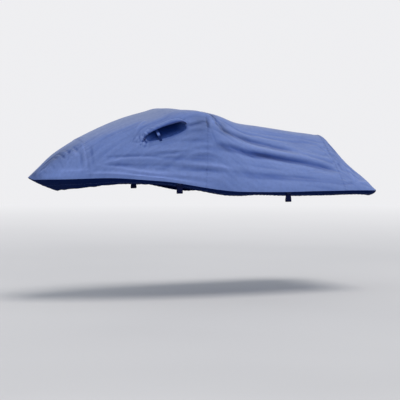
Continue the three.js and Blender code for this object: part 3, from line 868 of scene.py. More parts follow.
def oval_reach(first, second):
    """1 on the blunt oval, less inside it. An ellipse has the power 2, a box a very high one."""
    return (np.abs(first) ** OVAL_POWER + np.abs(second) ** OVAL_POWER) ** (1 / OVAL_POWER)


def oval_share(share):
    """How tall the oval is at a share of its length, and how long at a share of its height."""
    return (1 - np.abs(share) ** OVAL_POWER) ** (1 / OVAL_POWER)


print("the oval half way along:", round(oval_share(0.5), 2), "of its height")


# %% A vent's own directions
class Vent:
    """The slot of one side: `a` runs along it and `b` up from it, in millimetres."""

    def __init__(self, side):
        self.side = side
        self.centre = np.array([VENT_X, side * VENT_ACROSS])
        probe_x, probe_across = 20, 0.02
        x = np.array([0, probe_x, 0]) + self.centre[0]
        across = np.array([0, 0, probe_across]) + self.centre[1]
        here, aft, out = taut(x, across)
        normal = taut_normal(x[:1], across[:1])[0]
        rise = np.array([1, 0, VENT_RISE])
        long_axis = unit(rise - normal * (rise @ normal))
        tall_axis = np.cross(normal, long_axis)
        tall_axis *= np.sign(tall_axis[2])
        per = np.stack([(aft - here) / probe_x, (out - here) / probe_across], axis=1)
        axes = np.stack([long_axis, tall_axis])
        self.to_cloth = np.linalg.solve(per.T @ per, per.T @ axes.T)
        self.to_vent = np.linalg.inv(self.to_cloth)

    def cloth(self, a, b):
        return self.centre[:, None] + self.to_cloth @ np.stack([a, b])

    def edge(self, x, across):
        """How far out of the hole each point lies, its share of the oval, its a and its height."""
        a, up = self.to_vent @ (np.stack([x, across]) - self.centre[:, None])
        up = up + TIP_DROP
        tall = np.where(up > 0, HOLE_HIGH, HOLE_LOW)
        share = oval_reach(a / HOLE_HALF, up / tall)
        sizes = ((a, HOLE_HALF), (up, tall))
        slopes = [np.abs(place / size) ** (OVAL_POWER - 1) / size for place, size in sizes]
        steepness = np.hypot(*slopes) * (share + TINY) ** (1 - OVAL_POWER) + TINY
        out = np.where(np.sign(across) == self.side, (share + TINY - 1) / steepness, FAR)
        return out, share, a, up

    def around(self, x, across):
        """The bound edge of the hole, and the painted shade beside it."""
        out = self.edge(x, across)[0]
        bead = HOLE_HEM_PROUD * bell((out - HOLE_HEM_AT) / HOLE_HEM_WIDE)
        return bead, HOLE_SHADE * bell(np.maximum(out, 0) / HOLE_SHADE_WIDE)

    def place(self, a, b, lift):
        """Points over the hood panel's cloth."""
        a, b, lift = (part.reshape(-1) for part in np.broadcast_arrays(a, b, lift))
        x, across = self.cloth(a, b)
        return surface(x, across, "hood_panel")[0] + lift[:, None] * taut_normal(x, across)


VENTS = {name: Vent(side) for name, side in SIDES.items()}
print("vents:", list(VENTS))


# %% Cut a hole in a grid
def open_hole(x, across, vent):
    """Moves grid points onto the hole's edge, and says which points lie inside it."""
    out, share, a, up = vent.edge(x, across)
    inside = out < 0
    grow = np.where(inside, 1 / np.maximum(share, TINY), 1)
    edge_x, edge_across = vent.cloth(a * grow, up * grow - TIP_DROP)
    return np.where(inside, edge_x, x), np.where(inside, edge_across, across), inside


print("vent slots:", 2 * HOLE_HALF, "by", HOLE_LOW + HOLE_HIGH, "mm")

# %% [markdown]
# ## From points to a closed sheet
# Real cloth has two faces and an edge. Blender's Solidify can add the second face, but here
# the sheet is closed by hand, because the inner face then gets its own finish and every
# point keeps its marks: its painted shade and highlight, and how far down the hem it lies.


# %% Sheet helpers
HEM_KIND = 2


def point_normals(points, quads):
    one, two, three, four = (points[quads[:, k]] for k in range(4))
    area = np.cross(three - one, four - two)
    normals = np.zeros_like(points)
    for k in range(4):
        np.add.at(normals, quads[:, k], area)
    return unit(normals + 1e-12)


def free_edges(quads, count):
    """Directed edges that only one face has."""
    start = quads.reshape(-1)
    end = np.roll(quads, -1, axis=1).reshape(-1)
    alone = ~np.isin(start * count + end, end * count + start)
    return start[alone], end[alone]


def grid_quads(rows, columns):
    index = np.arange(rows * columns).reshape(rows, columns)
    quads = np.stack([index[:-1, :-1], index[1:, :-1], index[1:, 1:], index[:-1, 1:]], axis=2)
    return quads.reshape(-1, 4)


def facing(points, quads, away_from):
    """The same faces, turned so that they look away from a point."""
    one, two, three, four = (points[quads[:, k]] for k in range(4))
    outward = ((points[quads].mean(axis=1) - away_from) * np.cross(three - one, four - two)).sum()
    return quads if outward > 0 else quads[:, ::-1]


print("faces of a small grid:", len(grid_quads(3, 3)))


# %% A closed sheet with its finishes, map and marks
def add_sheet(name, outer, inner, quads, finishes, uv=None, marks=(), hem=None, sharp=50):
    """A closed sheet, from two skins of pattern points in millimetres."""
    count = len(outer)
    start, end = free_edges(quads, count)
    rim = np.stack([start, start + count, end + count, end], axis=1)
    faces = np.concatenate([quads, quads[:, ::-1] + count, rim])
    kinds = np.repeat([0, 1, 0], [len(quads), len(quads), len(rim)])
    if hem is not None:
        # Hem faces take the hem's finish, painted dark as shade under the rim
        kinds[np.tile(hem, 2)[faces].max(axis=1) > 0] = HEM_KIND
    mesh = bpy.data.meshes.new(name)
    mesh.from_pydata(metres(np.concatenate([outer, inner])).tolist(), [], faces.tolist())
    for finish in finishes:
        mesh.materials.append(finish)
    if len(finishes) > 1:
        mesh.polygons.foreach_set("material_index", kinds)
    if uv is not None:
        corners = np.tile(uv, (2, 1))[faces.reshape(-1)]
        layer = mesh.uv_layers.new(name="cloth")
        layer.data.foreach_set("uv", corners.astype(np.float32).reshape(-1))
    for label, values in dict(marks).items():
        mark = mesh.attributes.new(label, "FLOAT", "POINT")
        mark.data.foreach_set("value", np.tile(values, 2).astype(np.float32))
    mesh.polygons.foreach_set("use_smooth", [True] * len(mesh.polygons))
    mesh.set_sharp_from_angle(angle=math.radians(sharp))
    mesh.validate()
    mesh.update()
    return in_scene(name, mesh)


def triangles(piece):
    return sum(len(face.vertices) - 2 for face in piece.data.polygons)


def one_side(piece):
    """The area of one side of a sheet, in square metres."""
    return sum(face.area for face in piece.data.polygons) / 2


print("sheet helpers ready")

# %% [markdown]
# ## The cover cloth
# Solution-dyed polyester is a plain weave of flat yarns with a water-repellent coat. From a
# step away it is matt, with a soft sheen where it turns, and slightly blotched by wear and
# handling. Its colour also carries painted shade in the creases and painted highlight on the
# rolls, and its upward faces are painted greyer, partly sun fading and partly painted sheen.
# Close up the yarns go over and under. An image texture would show one patch of it over and
# over. These nodes follow the piece's own map, which is in metres, so a yarn has its real
# width everywhere.

# %% Cloth finish
YARN = 0.0009
WEAVE_DEEP = 0.00012
CRINKLE_DEEP = 0.0011
BLUE = opaque(0.100, 0.167, 0.432)
BLUE_FADED = opaque(0.139, 0.207, 0.458)
BLUE_SUN_FADE_AND_SHEEN = opaque(0.192, 0.238, 0.402)
BLUE_PAINTED_HIGHLIGHT = opaque(0.185, 0.265, 0.590)
BLUE_PAINTED_SHADE = opaque(0.022, 0.062, 0.270)
BLUE_PAINTED_DEEP_SHADE = opaque(0.003, 0.012, 0.085)
HEM_SHADE_NAVY = opaque(0.0018, 0.0080, 0.052)
INSIDE = opaque(0.080, 0.125, 0.300)
CREASE_SHADE = 0.84
ROLL_PAINTED_HIGHLIGHT = 0.7


def woven(finish, yarn):
    """The height of a plain weave, from 0 to 1, on the piece's own map."""
    u, v, _ = finish.axes(finish.coordinates("UV"))
    turn = math.pi / yarn
    over = (u * turn).sine() * (v * turn).sine()
    return over * 0.5 + 0.5


def cover_cloth():
    finish = Finish("cover_cloth")
    blotch, fine, crinkle = finish.mottle(2.6), finish.mottle(34), finish.mottle(21, 4)
    painted_shading = finish.mark("painted_shading")
    top = finish.mark("top")
    colour = finish.blend(blotch, BLUE, BLUE_FADED)
    # Upward faces turn greyer: partly sun fading, partly painted sheen of the light from above
    colour = finish.blend((top * 0.75 * (0.5 + fine)).clamped(), colour, BLUE_SUN_FADE_AND_SHEEN)
    # Painted highlight on rolls, painted shade in creases, deepest in big folds and under vent lips
    colour = finish.blend((painted_shading * -ROLL_PAINTED_HIGHLIGHT).clamped(), colour, BLUE_PAINTED_HIGHLIGHT)
    colour = finish.blend((painted_shading * CREASE_SHADE).clamped(), colour, BLUE_PAINTED_SHADE)
    colour = finish.blend((painted_shading - 1).clamped(), colour, BLUE_PAINTED_DEEP_SHADE)
    weave = woven(finish, YARN)
    # The soft patches darken the colour as painted shade
    tone = (0.86 + 0.28 * fine) * (0.97 + 0.06 * weave) * (1 - finish.mark("patch_shade"))
    height = weave * (WEAVE_DEEP / CRINKLE_DEEP) + crinkle
    return finish.close({
        "Base Color": finish.shade(colour, tone),
        "Roughness": 0.72 + 0.16 * fine,
        "Normal": finish.bump(height, CRINKLE_DEEP, 0.6),
        "Specular IOR Level": 0.35,
        "Sheen Weight": 0.22,
        "Sheen Roughness": 0.45,
        "Sheen Tint": opaque(0.75, 0.82, 1.0),
    })


def inner_cloth():
    finish = Finish("inner_cloth")
    fine = finish.mottle(9)
    weave = woven(finish, YARN)
    return finish.close({
        "Base Color": finish.shade(INSIDE, 0.82 + 0.3 * fine + 0.06 * weave),
        "Roughness": 0.62 + 0.1 * fine,
        "Normal": finish.bump(weave, WEAVE_DEEP, 0.5),
        "Specular IOR Level": 0.35,
    })


# The turned-in hem is painted near-black navy, as painted shade under the rim
def hem_band():
    finish = Finish("hem_band")
    fine = finish.mottle(30)
    weave = woven(finish, YARN)
    return finish.close({
        "Base Color": finish.shade(HEM_SHADE_NAVY, 0.7 + 0.5 * fine + 0.2 * weave),
        "Roughness": 0.8 + 0.1 * fine,
        "Normal": finish.bump(weave * 0.2 + fine * 0.8, 0.0006, 0.5),
        "Specular IOR Level": 0.04,
    })


CLOTH_FINISHES = [cover_cloth(), inner_cloth(), hem_band()]
print("cloth finishes:", [finish.name for finish in CLOTH_FINISHES])

# %% [markdown]
# ## The four panels
# Each panel is a grid of points a little under a centimetre apart, fine enough for every
# fold above. The two end panels carry their hem in one chain round the end, and the two
# middle ones along both sides.

# %% Parts of a panel
CLOTH_THICK = 1.2
ACROSS_STEPS = (14, 22, 36, 42)
PANEL_ROWS = {"nose_panel": 64, "hood_panel": 126, "seat_panel": 140, "tail_panel": 72}
# How far up a face must look to be painted greyer: partly sun fading, partly painted sheen
TOP_FROM, TOP_FULL = 0.66, 1.0


def across_values():
    half = [0.0]
    for part, steps in enumerate(ACROSS_STEPS):
        half += [(part + (k + 1) / steps) / 4 for k in range(steps)]
    return np.array([-value for value in reversed(half[1:])] + half)


def chains(index, panel):
    """The rim of a panel, in the order in which its hem hangs from it."""
    port, starboard = index[:, 0], index[::-1, -1]
    if panel == "nose_panel":
        return [np.concatenate([starboard, index[0, -2::-1], port[1:]])]
    if panel == "tail_panel":
        return [np.concatenate([port, index[-1, 1:], starboard[1:]])]
    return [port, starboard]


def own_map(points, shape):
    """Metres along and across the cloth at each point of its grid."""
    grid = points.reshape(*shape, 3)
    lengthwise = np.linalg.norm(np.diff(grid, axis=0), axis=2)
    crosswise = np.linalg.norm(np.diff(grid, axis=1), axis=2)
    u = np.concatenate([0 * lengthwise[:1], np.cumsum(lengthwise, axis=0)])
    v = np.concatenate([0 * crosswise[:, :1], np.cumsum(crosswise, axis=1)], axis=1)
    return (np.stack([u, v], axis=2) * MM).reshape(-1, 2)


def hung_hem(points, uv, x, chain, first):
    """The hem below one chain of rim points: its points, its map, its faces and its rings."""
    shares = np.arange(1, HEM_STEPS + 1) / HEM_STEPS
    hung = hem_points(points[chain], x[chain], shares)
    run = np.linalg.norm(np.diff(hung, axis=1, prepend=points[chain][:, None]), axis=2)
    hem_uv = np.repeat(uv[chain][:, None], HEM_STEPS, axis=1)
    hem_uv[:, :, 1] += np.sign(points[chain][:, 1:2]) * np.cumsum(run, axis=1) * MM
    ring = first + np.arange(len(chain) * HEM_STEPS).reshape(-1, HEM_STEPS)
    ring = np.concatenate([chain[:, None], ring], axis=1)
    faces = np.stack([ring[:-1, :-1], ring[:-1, 1:], ring[1:, 1:], ring[1:, :-1]], axis=2)
    return hung.reshape(-1, 3), hem_uv.reshape(-1, 2), faces.reshape(-1, 4), ring


def panel_grid(panel):
    """Where the points of a panel lie on the taut cloth, before its holes are cut."""
    across = across_values()
    before = panel_before(panel)
    start = seam_x(before, across) - LAP if before else 0 * across
    share = np.linspace(0, 1, PANEL_ROWS[panel] + 1)[:, None]
    x = start + (seam_x(panel, across) - start) * share
    return x.reshape(-1), np.tile(across, len(share)), x.shape


print("points across:", len(across_values()))


# %% Grid, hem and marks of a panel
def build_panel(panel):
    x, across, shape = panel_grid(panel)
    uv = own_map(taut(x, across), shape)
    dropped = np.zeros(len(x), bool)
    if panel == "hood_panel":
        for vent in VENTS.values():
            x, across, inside = open_hole(x, across, vent)
            dropped |= inside
    points, painted_shading = surface(x, across, panel)
    quads = grid_quads(*shape)
    quads = quads[~dropped[quads].all(axis=1)]
    rings = []
    for chain in chains(np.arange(len(x)).reshape(shape), panel):
        hung, hem_uv, strip, ring = hung_hem(points, uv, x, chain, len(points))
        points, uv = np.concatenate([points, hung]), np.concatenate([uv, hem_uv])
        quads = np.concatenate([quads, strip])
        rings.append(ring)
    hem = np.zeros(len(points))
    for ring in rings:
        hem[ring] = np.arange(HEM_STEPS + 1) / HEM_STEPS
    points = gathered(points, point_normals(points, quads), hem)
    normals = point_normals(points, quads)
    none = np.zeros(len(points) - len(x))
    marks = {
        "painted_shading": np.concatenate([painted_shading, none]),
        "top": smooth_step(TOP_FROM, TOP_FULL, normals[:, 2]),
        "patch_shade": np.concatenate([darkened(x, across), none]),
    }
    used, new = np.unique(quads, return_inverse=True)
    marks = {label: values[used] for label, values in marks.items()}
    outer = points[used]
    inner = outer - CLOTH_THICK * normals[used]
    quads = new.reshape(quads.shape)
    own = uv[used], marks, hem[used]
    piece = add_sheet(panel + "_cloth", outer, inner, quads, CLOTH_FINISHES, *own)
    return piece, [(points[ring], normals[ring]) for ring in rings]


# %% Build all four
panels = {}
hem_lines = {}
for panel in PANELS:
    panels[panel], hem_lines[panel] = build_panel(panel)

# %% [markdown]
# ## The vents' cowls
# Damp air leaves through the vents, and rain must not come in. So a hood of the cover's own
# cloth is sewn above each slot by a flat flange, and its free lower lip bows out, furthest
# in its aft half. A sphere cut in two would look moulded. This sheet is drawn up from the
# flange by a cosine and puckered at its fore end, as sewn cloth is.

# %% Sizes and outline of a cowl
COWL_HALF, COWL_TALL, COWL_PROUD, COWL_FLANGE = 202, 66, 45, 12
COWL_LIP_RISE = 62
LIP_RISE, LIP_FALL = 1.1, 0.45
LIP_SHARP = 0.7
SEAT_GAP = 0.3
COWL_LONG_STEPS, COWL_TALL_STEPS, FLANGE_STEPS = 72, 18, 3
COWL_END = 0.005
LIP_HEM_FROM, LIP_HEM, LIP_HEM_PROUD = 0.096, 0.12, 1.0
COWL_PUCKER_WAVE, COWL_PUCKER_DEEP, COWL_PUCKER_SHADING = 43, 2.6, 0.35
COWL_PUCKER_FAN, COWL_PUCKER_DRIFT = 2.5, 4
COWL_FORE, COWL_AFT, COWL_AFT_SHARE = 0.36, 0.1, 0.35
COWL_CRUMPLE, COWL_CRUMPLE_DEEP, COWL_CRUMPLE_SHADING = 27, 11, 1.4
COWL_WANDER_WAVE, LIP_WANDER = 55, 5
LIP_DROOP, DROOP_FROM, DROOP_FULL = 9, 0.42, 0.75
LIP_SHADE, LIP_SHADE_WIDE = 2.0, 0.3


def lip_share(s):
    peak = LIP_RISE / (LIP_RISE + LIP_FALL)
    top = peak ** LIP_RISE * (1 - peak) ** LIP_FALL
    return s ** LIP_RISE * (1 - s) ** LIP_FALL / top


def arch(s):
    return oval_share(2 * s - 1)


def lip_rise(s):
    """How far up the slope the lip lies."""
    return COWL_LIP_RISE * arch(s) - TIP_DROP


def cowl_lift(s, q):
    """The height of the cowl's inner face over the cloth, from 0 at the lip to 1 at the seam."""
    return SEAT_GAP + COWL_PROUD * lip_share(s) * np.cos(q * np.pi / 2) ** LIP_SHARP


print("lip over the middle of the slot:", round(cowl_lift(0.5, 0)), "mm")


# %% Build the cowls
def cowl_grid():
    """Shares along and up the cowl, and how far each point lies on the flange."""
    spread = (1 - np.cos(np.pi * np.arange(COWL_LONG_STEPS + 1) / COWL_LONG_STEPS)) / 2
    s = (COWL_END + (1 - 2 * COWL_END) * spread)[:, None]
    q = np.concatenate([np.linspace(0, 1, COWL_TALL_STEPS + 1), np.ones(FLANGE_STEPS)])
    flange = np.maximum(np.arange(-COWL_TALL_STEPS, FLANGE_STEPS + 1), 0) / FLANGE_STEPS
    return s, q[None], COWL_FLANGE * flange[None]


def build_cowl(side, vent):
    s, q, flange = cowl_grid()
    a = COWL_HALF * (2 * s - 1) + 0 * q
    b = lip_rise(s) + COWL_TALL * arch(s) * q + flange
    ends = bell(s / COWL_FORE) + COWL_AFT_SHARE * bell((1 - s) / COWL_AFT)
    wander = noise_at(a / COWL_WANDER_WAVE, 0, 6.1)
    crumple = noise_at(a / COWL_CRUMPLE, b / COWL_CRUMPLE, 14.5)
    b = b + LIP_WANDER * (wander + crumple) * ends * (1 - q) ** 2
    b = b - LIP_DROOP * smooth_step(DROOP_FROM, DROOP_FULL, s) * arch(s) * (1 - q) ** 2
    rooted = np.sin(np.pi * np.minimum(0.5 + q / 2, 1)) ** 0.5
    waves = 2 * np.pi * a / COWL_PUCKER_WAVE + COWL_PUCKER_FAN * q + COWL_PUCKER_DRIFT * wander
    pucker = np.sin(waves) * ends * rooted
    crumple = crumple * ends * rooted
    lift = cowl_lift(s, q) + COWL_PUCKER_DEEP * pucker + COWL_CRUMPLE_DEEP * crumple
    lift = np.maximum(lift, SEAT_GAP) + CLOTH_THICK
    lift = lift + LIP_HEM_PROUD * (1 - smooth_step(LIP_HEM_FROM, LIP_HEM, q))
    lift = np.where(flange > 0, SEAT_GAP + CLOTH_THICK, lift)
    points = vent.place(a, b, lift)
    quads = facing(points, grid_quads(*a.shape), vent.place(0, 0, 0)[0])
    inner = points - CLOTH_THICK * point_normals(points, quads)
    # Painted shade under the lip, and painted shade and highlight on the puckers and crumples
    lip = LIP_SHADE * bell(q / LIP_SHADE_WIDE) * (0.5 + 0.5 * s)
    painted_shading = lip - COWL_PUCKER_SHADING * pucker - COWL_CRUMPLE_SHADING * crumple
    marks = {"painted_shading": np.clip(painted_shading, -1, 2).reshape(-1)}
    uv = own_map(points, a.shape)
    return add_sheet(f"vent_cowl_{side}_cloth", points, inner, quads, CLOTH_FINISHES, uv, marks)


cowls = {side: build_cowl(side, vent) for side, vent in VENTS.items()}
print("cowl triangles:", triangles(cowls["port"]), "area", round(one_side(cowls["port"]), 4))

# %% [markdown]
# ## Mesh and prop
# Behind each slot a dark mesh keeps insects out, and near the slot's fore end a stiff strip
# stands on the cloth below and holds the lip open. The mesh could be an image of holes on a
# flat card. Here it is a thin dark sheet with real strands laid over it, so it has depth
# when one looks in under the lip.

# %% Finishes of mesh, prop and webbing
MESH_DARK = opaque(0.0008, 0.012, 0.095)
MESH_LIT = opaque(0.050, 0.105, 0.360)
STRAND_DARK = opaque(0.002, 0.020, 0.13)
STRIP_PAINTED_SHADE = opaque(0.004, 0.018, 0.11)
STRIP_PAINTED_GLINT = opaque(0.11, 0.18, 0.46)
WEBBING_NAVY = opaque(0.0015, 0.0040, 0.030)
THREAD_BLUE = opaque(0.10, 0.155, 0.38)
RIB, PICK = 0.0022, 0.00132
GRAIN_DEEP = 0.0004


def plain_finish(name, colour, roughness, variation, scale, gloss, mark=None, marked=None):
    """One colour that varies softly, or two that a mark blends, with a fine grain in its bump."""
    finish = Finish(name)
    fine = finish.mottle(scale)
    if mark:
        colour = finish.blend(finish.mark(mark), colour, marked)
    return finish.close({
        "Base Color": finish.shade(colour, 1 - variation + 2 * variation * fine),
        "Roughness": roughness + 0.12 * fine,
        "Normal": finish.bump(fine, GRAIN_DEEP, 0.5),
        "Specular IOR Level": gloss,
    })


def ridged(place, width):
    """The height of ridges of a width, from 0 to 1."""
    return (place * (2 * math.pi / width)).sine() * 0.5 + 0.5


def ribbed_webbing():
    finish = Finish("ribbed_webbing")
    u, v, _ = finish.axes(finish.coordinates("UV"))
    rib, pick = ridged(v, RIB), ridged(u, PICK)
    fine = finish.mottle(60)
    return finish.close({
        "Base Color": finish.shade(WEBBING_NAVY, 0.7 + 0.35 * rib + 0.3 * fine),
        "Roughness": 0.6 + 0.15 * fine,
        "Normal": finish.bump(rib * 0.7 + pick * 0.3, GRAIN_DEEP, 0.7),
        "Specular IOR Level": 0.06,
    })


# The net is near black, with painted light where daylight gets in under the lip, and the strip
# is painted dark as in shade, with a painted glint in its middle
MESH_FINISH = plain_finish("mesh_cloth", MESH_DARK, 0.7, 0.2, 40, 0.05, "lit", MESH_LIT)
STRIP_FINISH = plain_finish("prop_strip", STRIP_PAINTED_SHADE, 0.6, 0.15, 60, 0.1, "glint", STRIP_PAINTED_GLINT)
STRAND_FINISH = plain_finish("mesh_strand", STRAND_DARK, 0.55, 0.25, 90, 0.15)
THREAD_FINISH = plain_finish("thread", THREAD_BLUE, 0.6, 0.2, 200, 0.3)
WEBBING_FINISH = ribbed_webbing()
print("finishes:", len(bpy.data.materials))

# %% Build the meshes
MESH_MARGIN = 14
MESH_STEPS = (70, 26)
MESH_TOP, MESH_THICK = -2.6, 0.9
LIT_UP_TO, LIT_FULL_AT = -6, -58
LIT_END_FROM, LIT_END_SHARE = 95, 0.8
# Half way in from a vent to the middle of the cover
INWARD = (1, 0.5, 1)


def build_vent_mesh(side, vent):
    """A lens of quads: a square grid whose sides are bowed out into the oval."""
    u, v = np.meshgrid(*(np.linspace(-1, 1, steps + 1) for steps in MESH_STEPS), indexing="ij")
    tall = np.where(v > 0, HOLE_HIGH, HOLE_LOW) + MESH_MARGIN
    round_u, round_v = u * np.sqrt(1 - v * v / 2), v * np.sqrt(1 - u * u / 2)
    blunt = np.hypot(round_u, round_v) / (oval_reach(round_u, round_v) + 1e-9)
    a = (HOLE_HALF + MESH_MARGIN) * round_u * blunt
    b = tall * round_v * blunt - TIP_DROP
    above, below = vent.place(a, b, MESH_TOP), vent.place(a, b, MESH_TOP - MESH_THICK)
    quads = facing(above, grid_quads(*u.shape), below.mean(axis=0) * INWARD)
    # Painted light: the net is paler low down and towards its tips, where daylight gets in
    low = 1 - smooth_step(LIT_FULL_AT, LIT_UP_TO, b)
    ends = LIT_END_SHARE * smooth_step(LIT_END_FROM, HOLE_HALF, np.abs(a))
    marks = {"lit": np.maximum(low, ends).reshape(-1)}
    return add_sheet(f"vent_mesh_{side}_sheet", above, below, quads, [MESH_FINISH], marks=marks)


vent_meshes = {side: build_vent_mesh(side, vent) for side, vent in VENTS.items()}
print("mesh area", round(one_side(vent_meshes["port"]), 4))

# %% Build the props
PROP_AT, PROP_WIDE, PROP_THICK, PROP_FOOT, PROP_UNDER_LIP = -72, 24, 2.4, 14, 10
PROP_LIP_ROOM, PROP_HEEL, PROP_KNEE = 7, 3, 0.45
PROP_GLINT_AT, PROP_GLINT_REACH = -4, 13
PROP_STEPS, PROP_COLUMNS = 10, 5


def smooth_line(corners, steps):
    """Points along a smooth curve through the corners, evenly spread between them."""
    corners = np.array(corners, float)
    ends = [2 * corners[0] - corners[1], *corners, 2 * corners[-1] - corners[-2]]
    share = np.linspace(0, 1, steps + 1)[:-1, None]
    runs = [through(*ends[k:k + 4], share) for k in range(len(corners) - 1)]
    return np.concatenate([*runs, corners[-1:]])


def build_prop(side, vent):
    s = (PROP_AT / COWL_HALF + 1) / 2
    lip = COWL_PROUD * lip_share(s)
    foot = -HOLE_LOW - TIP_DROP
    under_lip = cowl_lift(s, PROP_UNDER_LIP / (COWL_TALL * arch(s))) - PROP_THICK - PROP_LIP_ROOM
    line = smooth_line([
        (foot - PROP_FOOT, SEAT_GAP),
        (foot - PROP_HEEL, SEAT_GAP),
        (foot * PROP_KNEE, lip / 2),
        (lip_rise(s) + PROP_UNDER_LIP, under_lip),
    ], PROP_STEPS)
    b, column = np.meshgrid(line[:, 0], np.linspace(-0.5, 0.5, PROP_COLUMNS), indexing="ij")
    lift = np.maximum(line[:, 1:], SEAT_GAP)
    a = PROP_AT + PROP_WIDE * column
    outer, inner = vent.place(a, b, lift + PROP_THICK), vent.place(a, b, lift)
    quads = facing(outer, grid_quads(*b.shape), inner.mean(axis=0) * INWARD)
    # A painted glint in the strip's middle, painted shade towards its ends
    marks = {"glint": np.exp(-(((b - PROP_GLINT_AT) / PROP_GLINT_REACH) ** 4)).reshape(-1)}
    return add_sheet(f"vent_prop_{side}_strip", outer, inner, quads, [STRIP_FINISH], marks=marks)


vent_props = {side: build_prop(side, vent) for side, vent in VENTS.items()}
print("strip area", round(one_side(vent_props["port"]), 5))

# %% [markdown]
# ## Webbing loops
# A tie-down strap needs something stronger than the hem to pull on. Each loop is one length
# of webbing, doubled and sewn flat on the first turn of the hem, whose bight hangs open. It
# is drawn as a path in the plane across the hem, outward and up, and then given its width.

# %% The path of a loop
WEBBING_WIDE, WEBBING_THICK = 50, 1.3
LEAF_OFF = (1.1, 2.45)
LEAF_SHARES = (0.05, 0.333)
LEAF_STEPS = 5
LOOP_NECK, LOOP_BELLY, LOOP_BOTTOM = 32, 70, 85.3
NECK_HALF, BELLY_HALF, BOTTOM_HALF = 0.7, 11, 6.5
LOOP_STEPS, LOOP_COLUMNS = 5, 13
UPWARD = np.array([0, 0, 1])


def loop_frame(side, x):
    """The rim point and the directions along the rim and outward from it."""
    reach = 30
    at = taut(np.array([x, x + reach, x - reach], float), np.full(3, float(side)))
    run = at[1] - at[2]
    run[2] = 0
    run = unit(run)
    outward = np.cross(run, (0, 0, 1)) * -side
    return at[0], run, outward


def moved_off(line, distance):
    """A line of places outward and up, moved sideways by a distance."""
    step = np.gradient(line, axis=0)
    return line + distance * unit(np.stack([-step[:, 1], step[:, 0]], axis=1))


def leaf_line(side, x, offset):
    """Where one leaf lies on the hem, as distances outward and up from the rim."""
    rim, _, outward = loop_frame(side, x)
    shares = np.linspace(*LEAF_SHARES, LEAF_STEPS)
    hung = hem_points(rim[None], np.array([float(x)]), shares)[0] - rim
    return moved_off(np.stack([hung @ outward, hung[:, 2]], axis=1), offset)


def loop_line(side, x):
    inner = leaf_line(side, x, LEAF_OFF[0])
    outer = leaf_line(side, x, LEAF_OFF[1])
    hang = (inner[-1, 0] + outer[-1, 0]) / 2
    halves = [(NECK_HALF, LOOP_NECK), (BELLY_HALF, LOOP_BELLY), (BOTTOM_HALF, LOOP_BOTTOM)]
    down = [(hang - half, -below) for half, below in halves]
    back = [(hang + half, -below) for half, below in reversed(halves)]
    return smooth_line([*inner, *down, *back, *outer[::-1]], LOOP_STEPS)


def webbing_rows(side, x, line, shares):
    """Points across the webbing at each place of the line."""
    rim, run, outward = loop_frame(side, x)
    middle = rim + line[:, :1] * outward + line[:, 1:] * UPWARD
    return middle[:, None] + shares[:, None] * WEBBING_WIDE * run


print("places along a loop:", len(loop_line(-1, LOOP_PLACES["fore"])))


# %% Build the loops
def build_loop(name, side, x):
    rim, _, outward = loop_frame(side, x)
    line = loop_line(side, x)
    shares = np.linspace(-0.5, 0.5, LOOP_COLUMNS)
    skins = [
        webbing_rows(side, x, moved_off(line, half * WEBBING_THICK), shares).reshape(-1, 3)
        for half in (0.5, -0.5)
    ]
    inside = rim + line[:, 0].mean() * outward - LOOP_BELLY * UPWARD
    quads = facing(skins[0], grid_quads(len(line), LOOP_COLUMNS), inside)
    uv = own_map(skins[0], (len(line), LOOP_COLUMNS))
    return add_sheet(name + "_webbing", *skins, quads, [WEBBING_FINISH], uv, sharp=40)


loops = {}
for side_name, side in SIDES.items():
    for place, x in LOOP_PLACES.items():
        name = f"tie_loop_{side_name}_{place}"
        loops[name] = build_loop(name, side, x)
print("loops:", len(loops), "webbing area", round(one_side(loops["tie_loop_port_fore"]), 4))

# %% [markdown]
# ## Thread and strands by Geometry Nodes
# A cover holds thousands of stitches, and each vent a net of fine strands. Placing them one
# by one in Python would be slow, and the tree below is the usual way: lines are laid where
# the sewing machine goes, each line is cut into equal steps, and one small bead of thread
# stands on each step, turned along the line. The strands are the same lines with a round
# profile swept along them. Real copies are made at the end, because the export needs them.


# %% A tree that is built, run once and baked
class Tree(Net):
    def __init__(self, name, sizes):
        super().__init__(bpy.data.node_groups.new(name, "GeometryNodeTree"))
        face = self.tree.interface
        for way in ("INPUT", "OUTPUT"):
            face.new_socket("Geometry", in_out=way, socket_type="NodeSocketGeometry")
        self.sizes = {}
        for label, size in sizes.items():
            socket = face.new_socket(label, in_out="INPUT", socket_type="NodeSocketFloat")
            self.sizes[socket.identifier] = size

    def given(self, label):
        return self.node("NodeGroupInput", (), (), label)

    def bake(self, piece, shape, finish):
        """Ends the tree, runs it on the piece and keeps its mesh."""
        shape = self.node("GeometryNodeRealizeInstances", (), {"Geometry": shape})
        shape = self.node("GeometryNodeSetShadeSmooth", (), {"Geometry": shape})
        shape = self.node("GeometryNodeSetMaterial", (), {"Geometry": shape, "Material": finish})
        self.node("NodeGroupOutput", (), {"Geometry": shape})
        modifier = piece.modifiers.new(self.tree.name, "NODES")
        modifier.node_group = self.tree
        for identifier, size in self.sizes.items():
            modifier[identifier] = size
        graph = bpy.context.evaluated_depsgraph_get()
        mesh = bpy.data.meshes.new_from_object(piece.evaluated_get(graph))
        piece.modifiers.remove(modifier)
        piece.data = mesh
        return piece


# %% Lines to sew and to weave along
STITCH_LONG, STITCH_GAP, STITCH_THICK = 4.2, 1.5, 0.9
STRAND_PITCH, STRAND_RADIUS = 5.0, 0.5


def lines_object(name, lines):
    """One object of edges only, from lines of pattern points in millimetres."""
    edges = []
    count = 0
    for line in lines:
        edges += [(count + k, count + k + 1) for k in range(len(line) - 1)]
        count += len(line)
    mesh = bpy.data.meshes.new(name)
    mesh.from_pydata(metres(np.concatenate(lines)).tolist(), edges, [])
    return in_scene(name, mesh)


print("stitches every", round(STITCH_LONG + STITCH_GAP, 1), "mm")


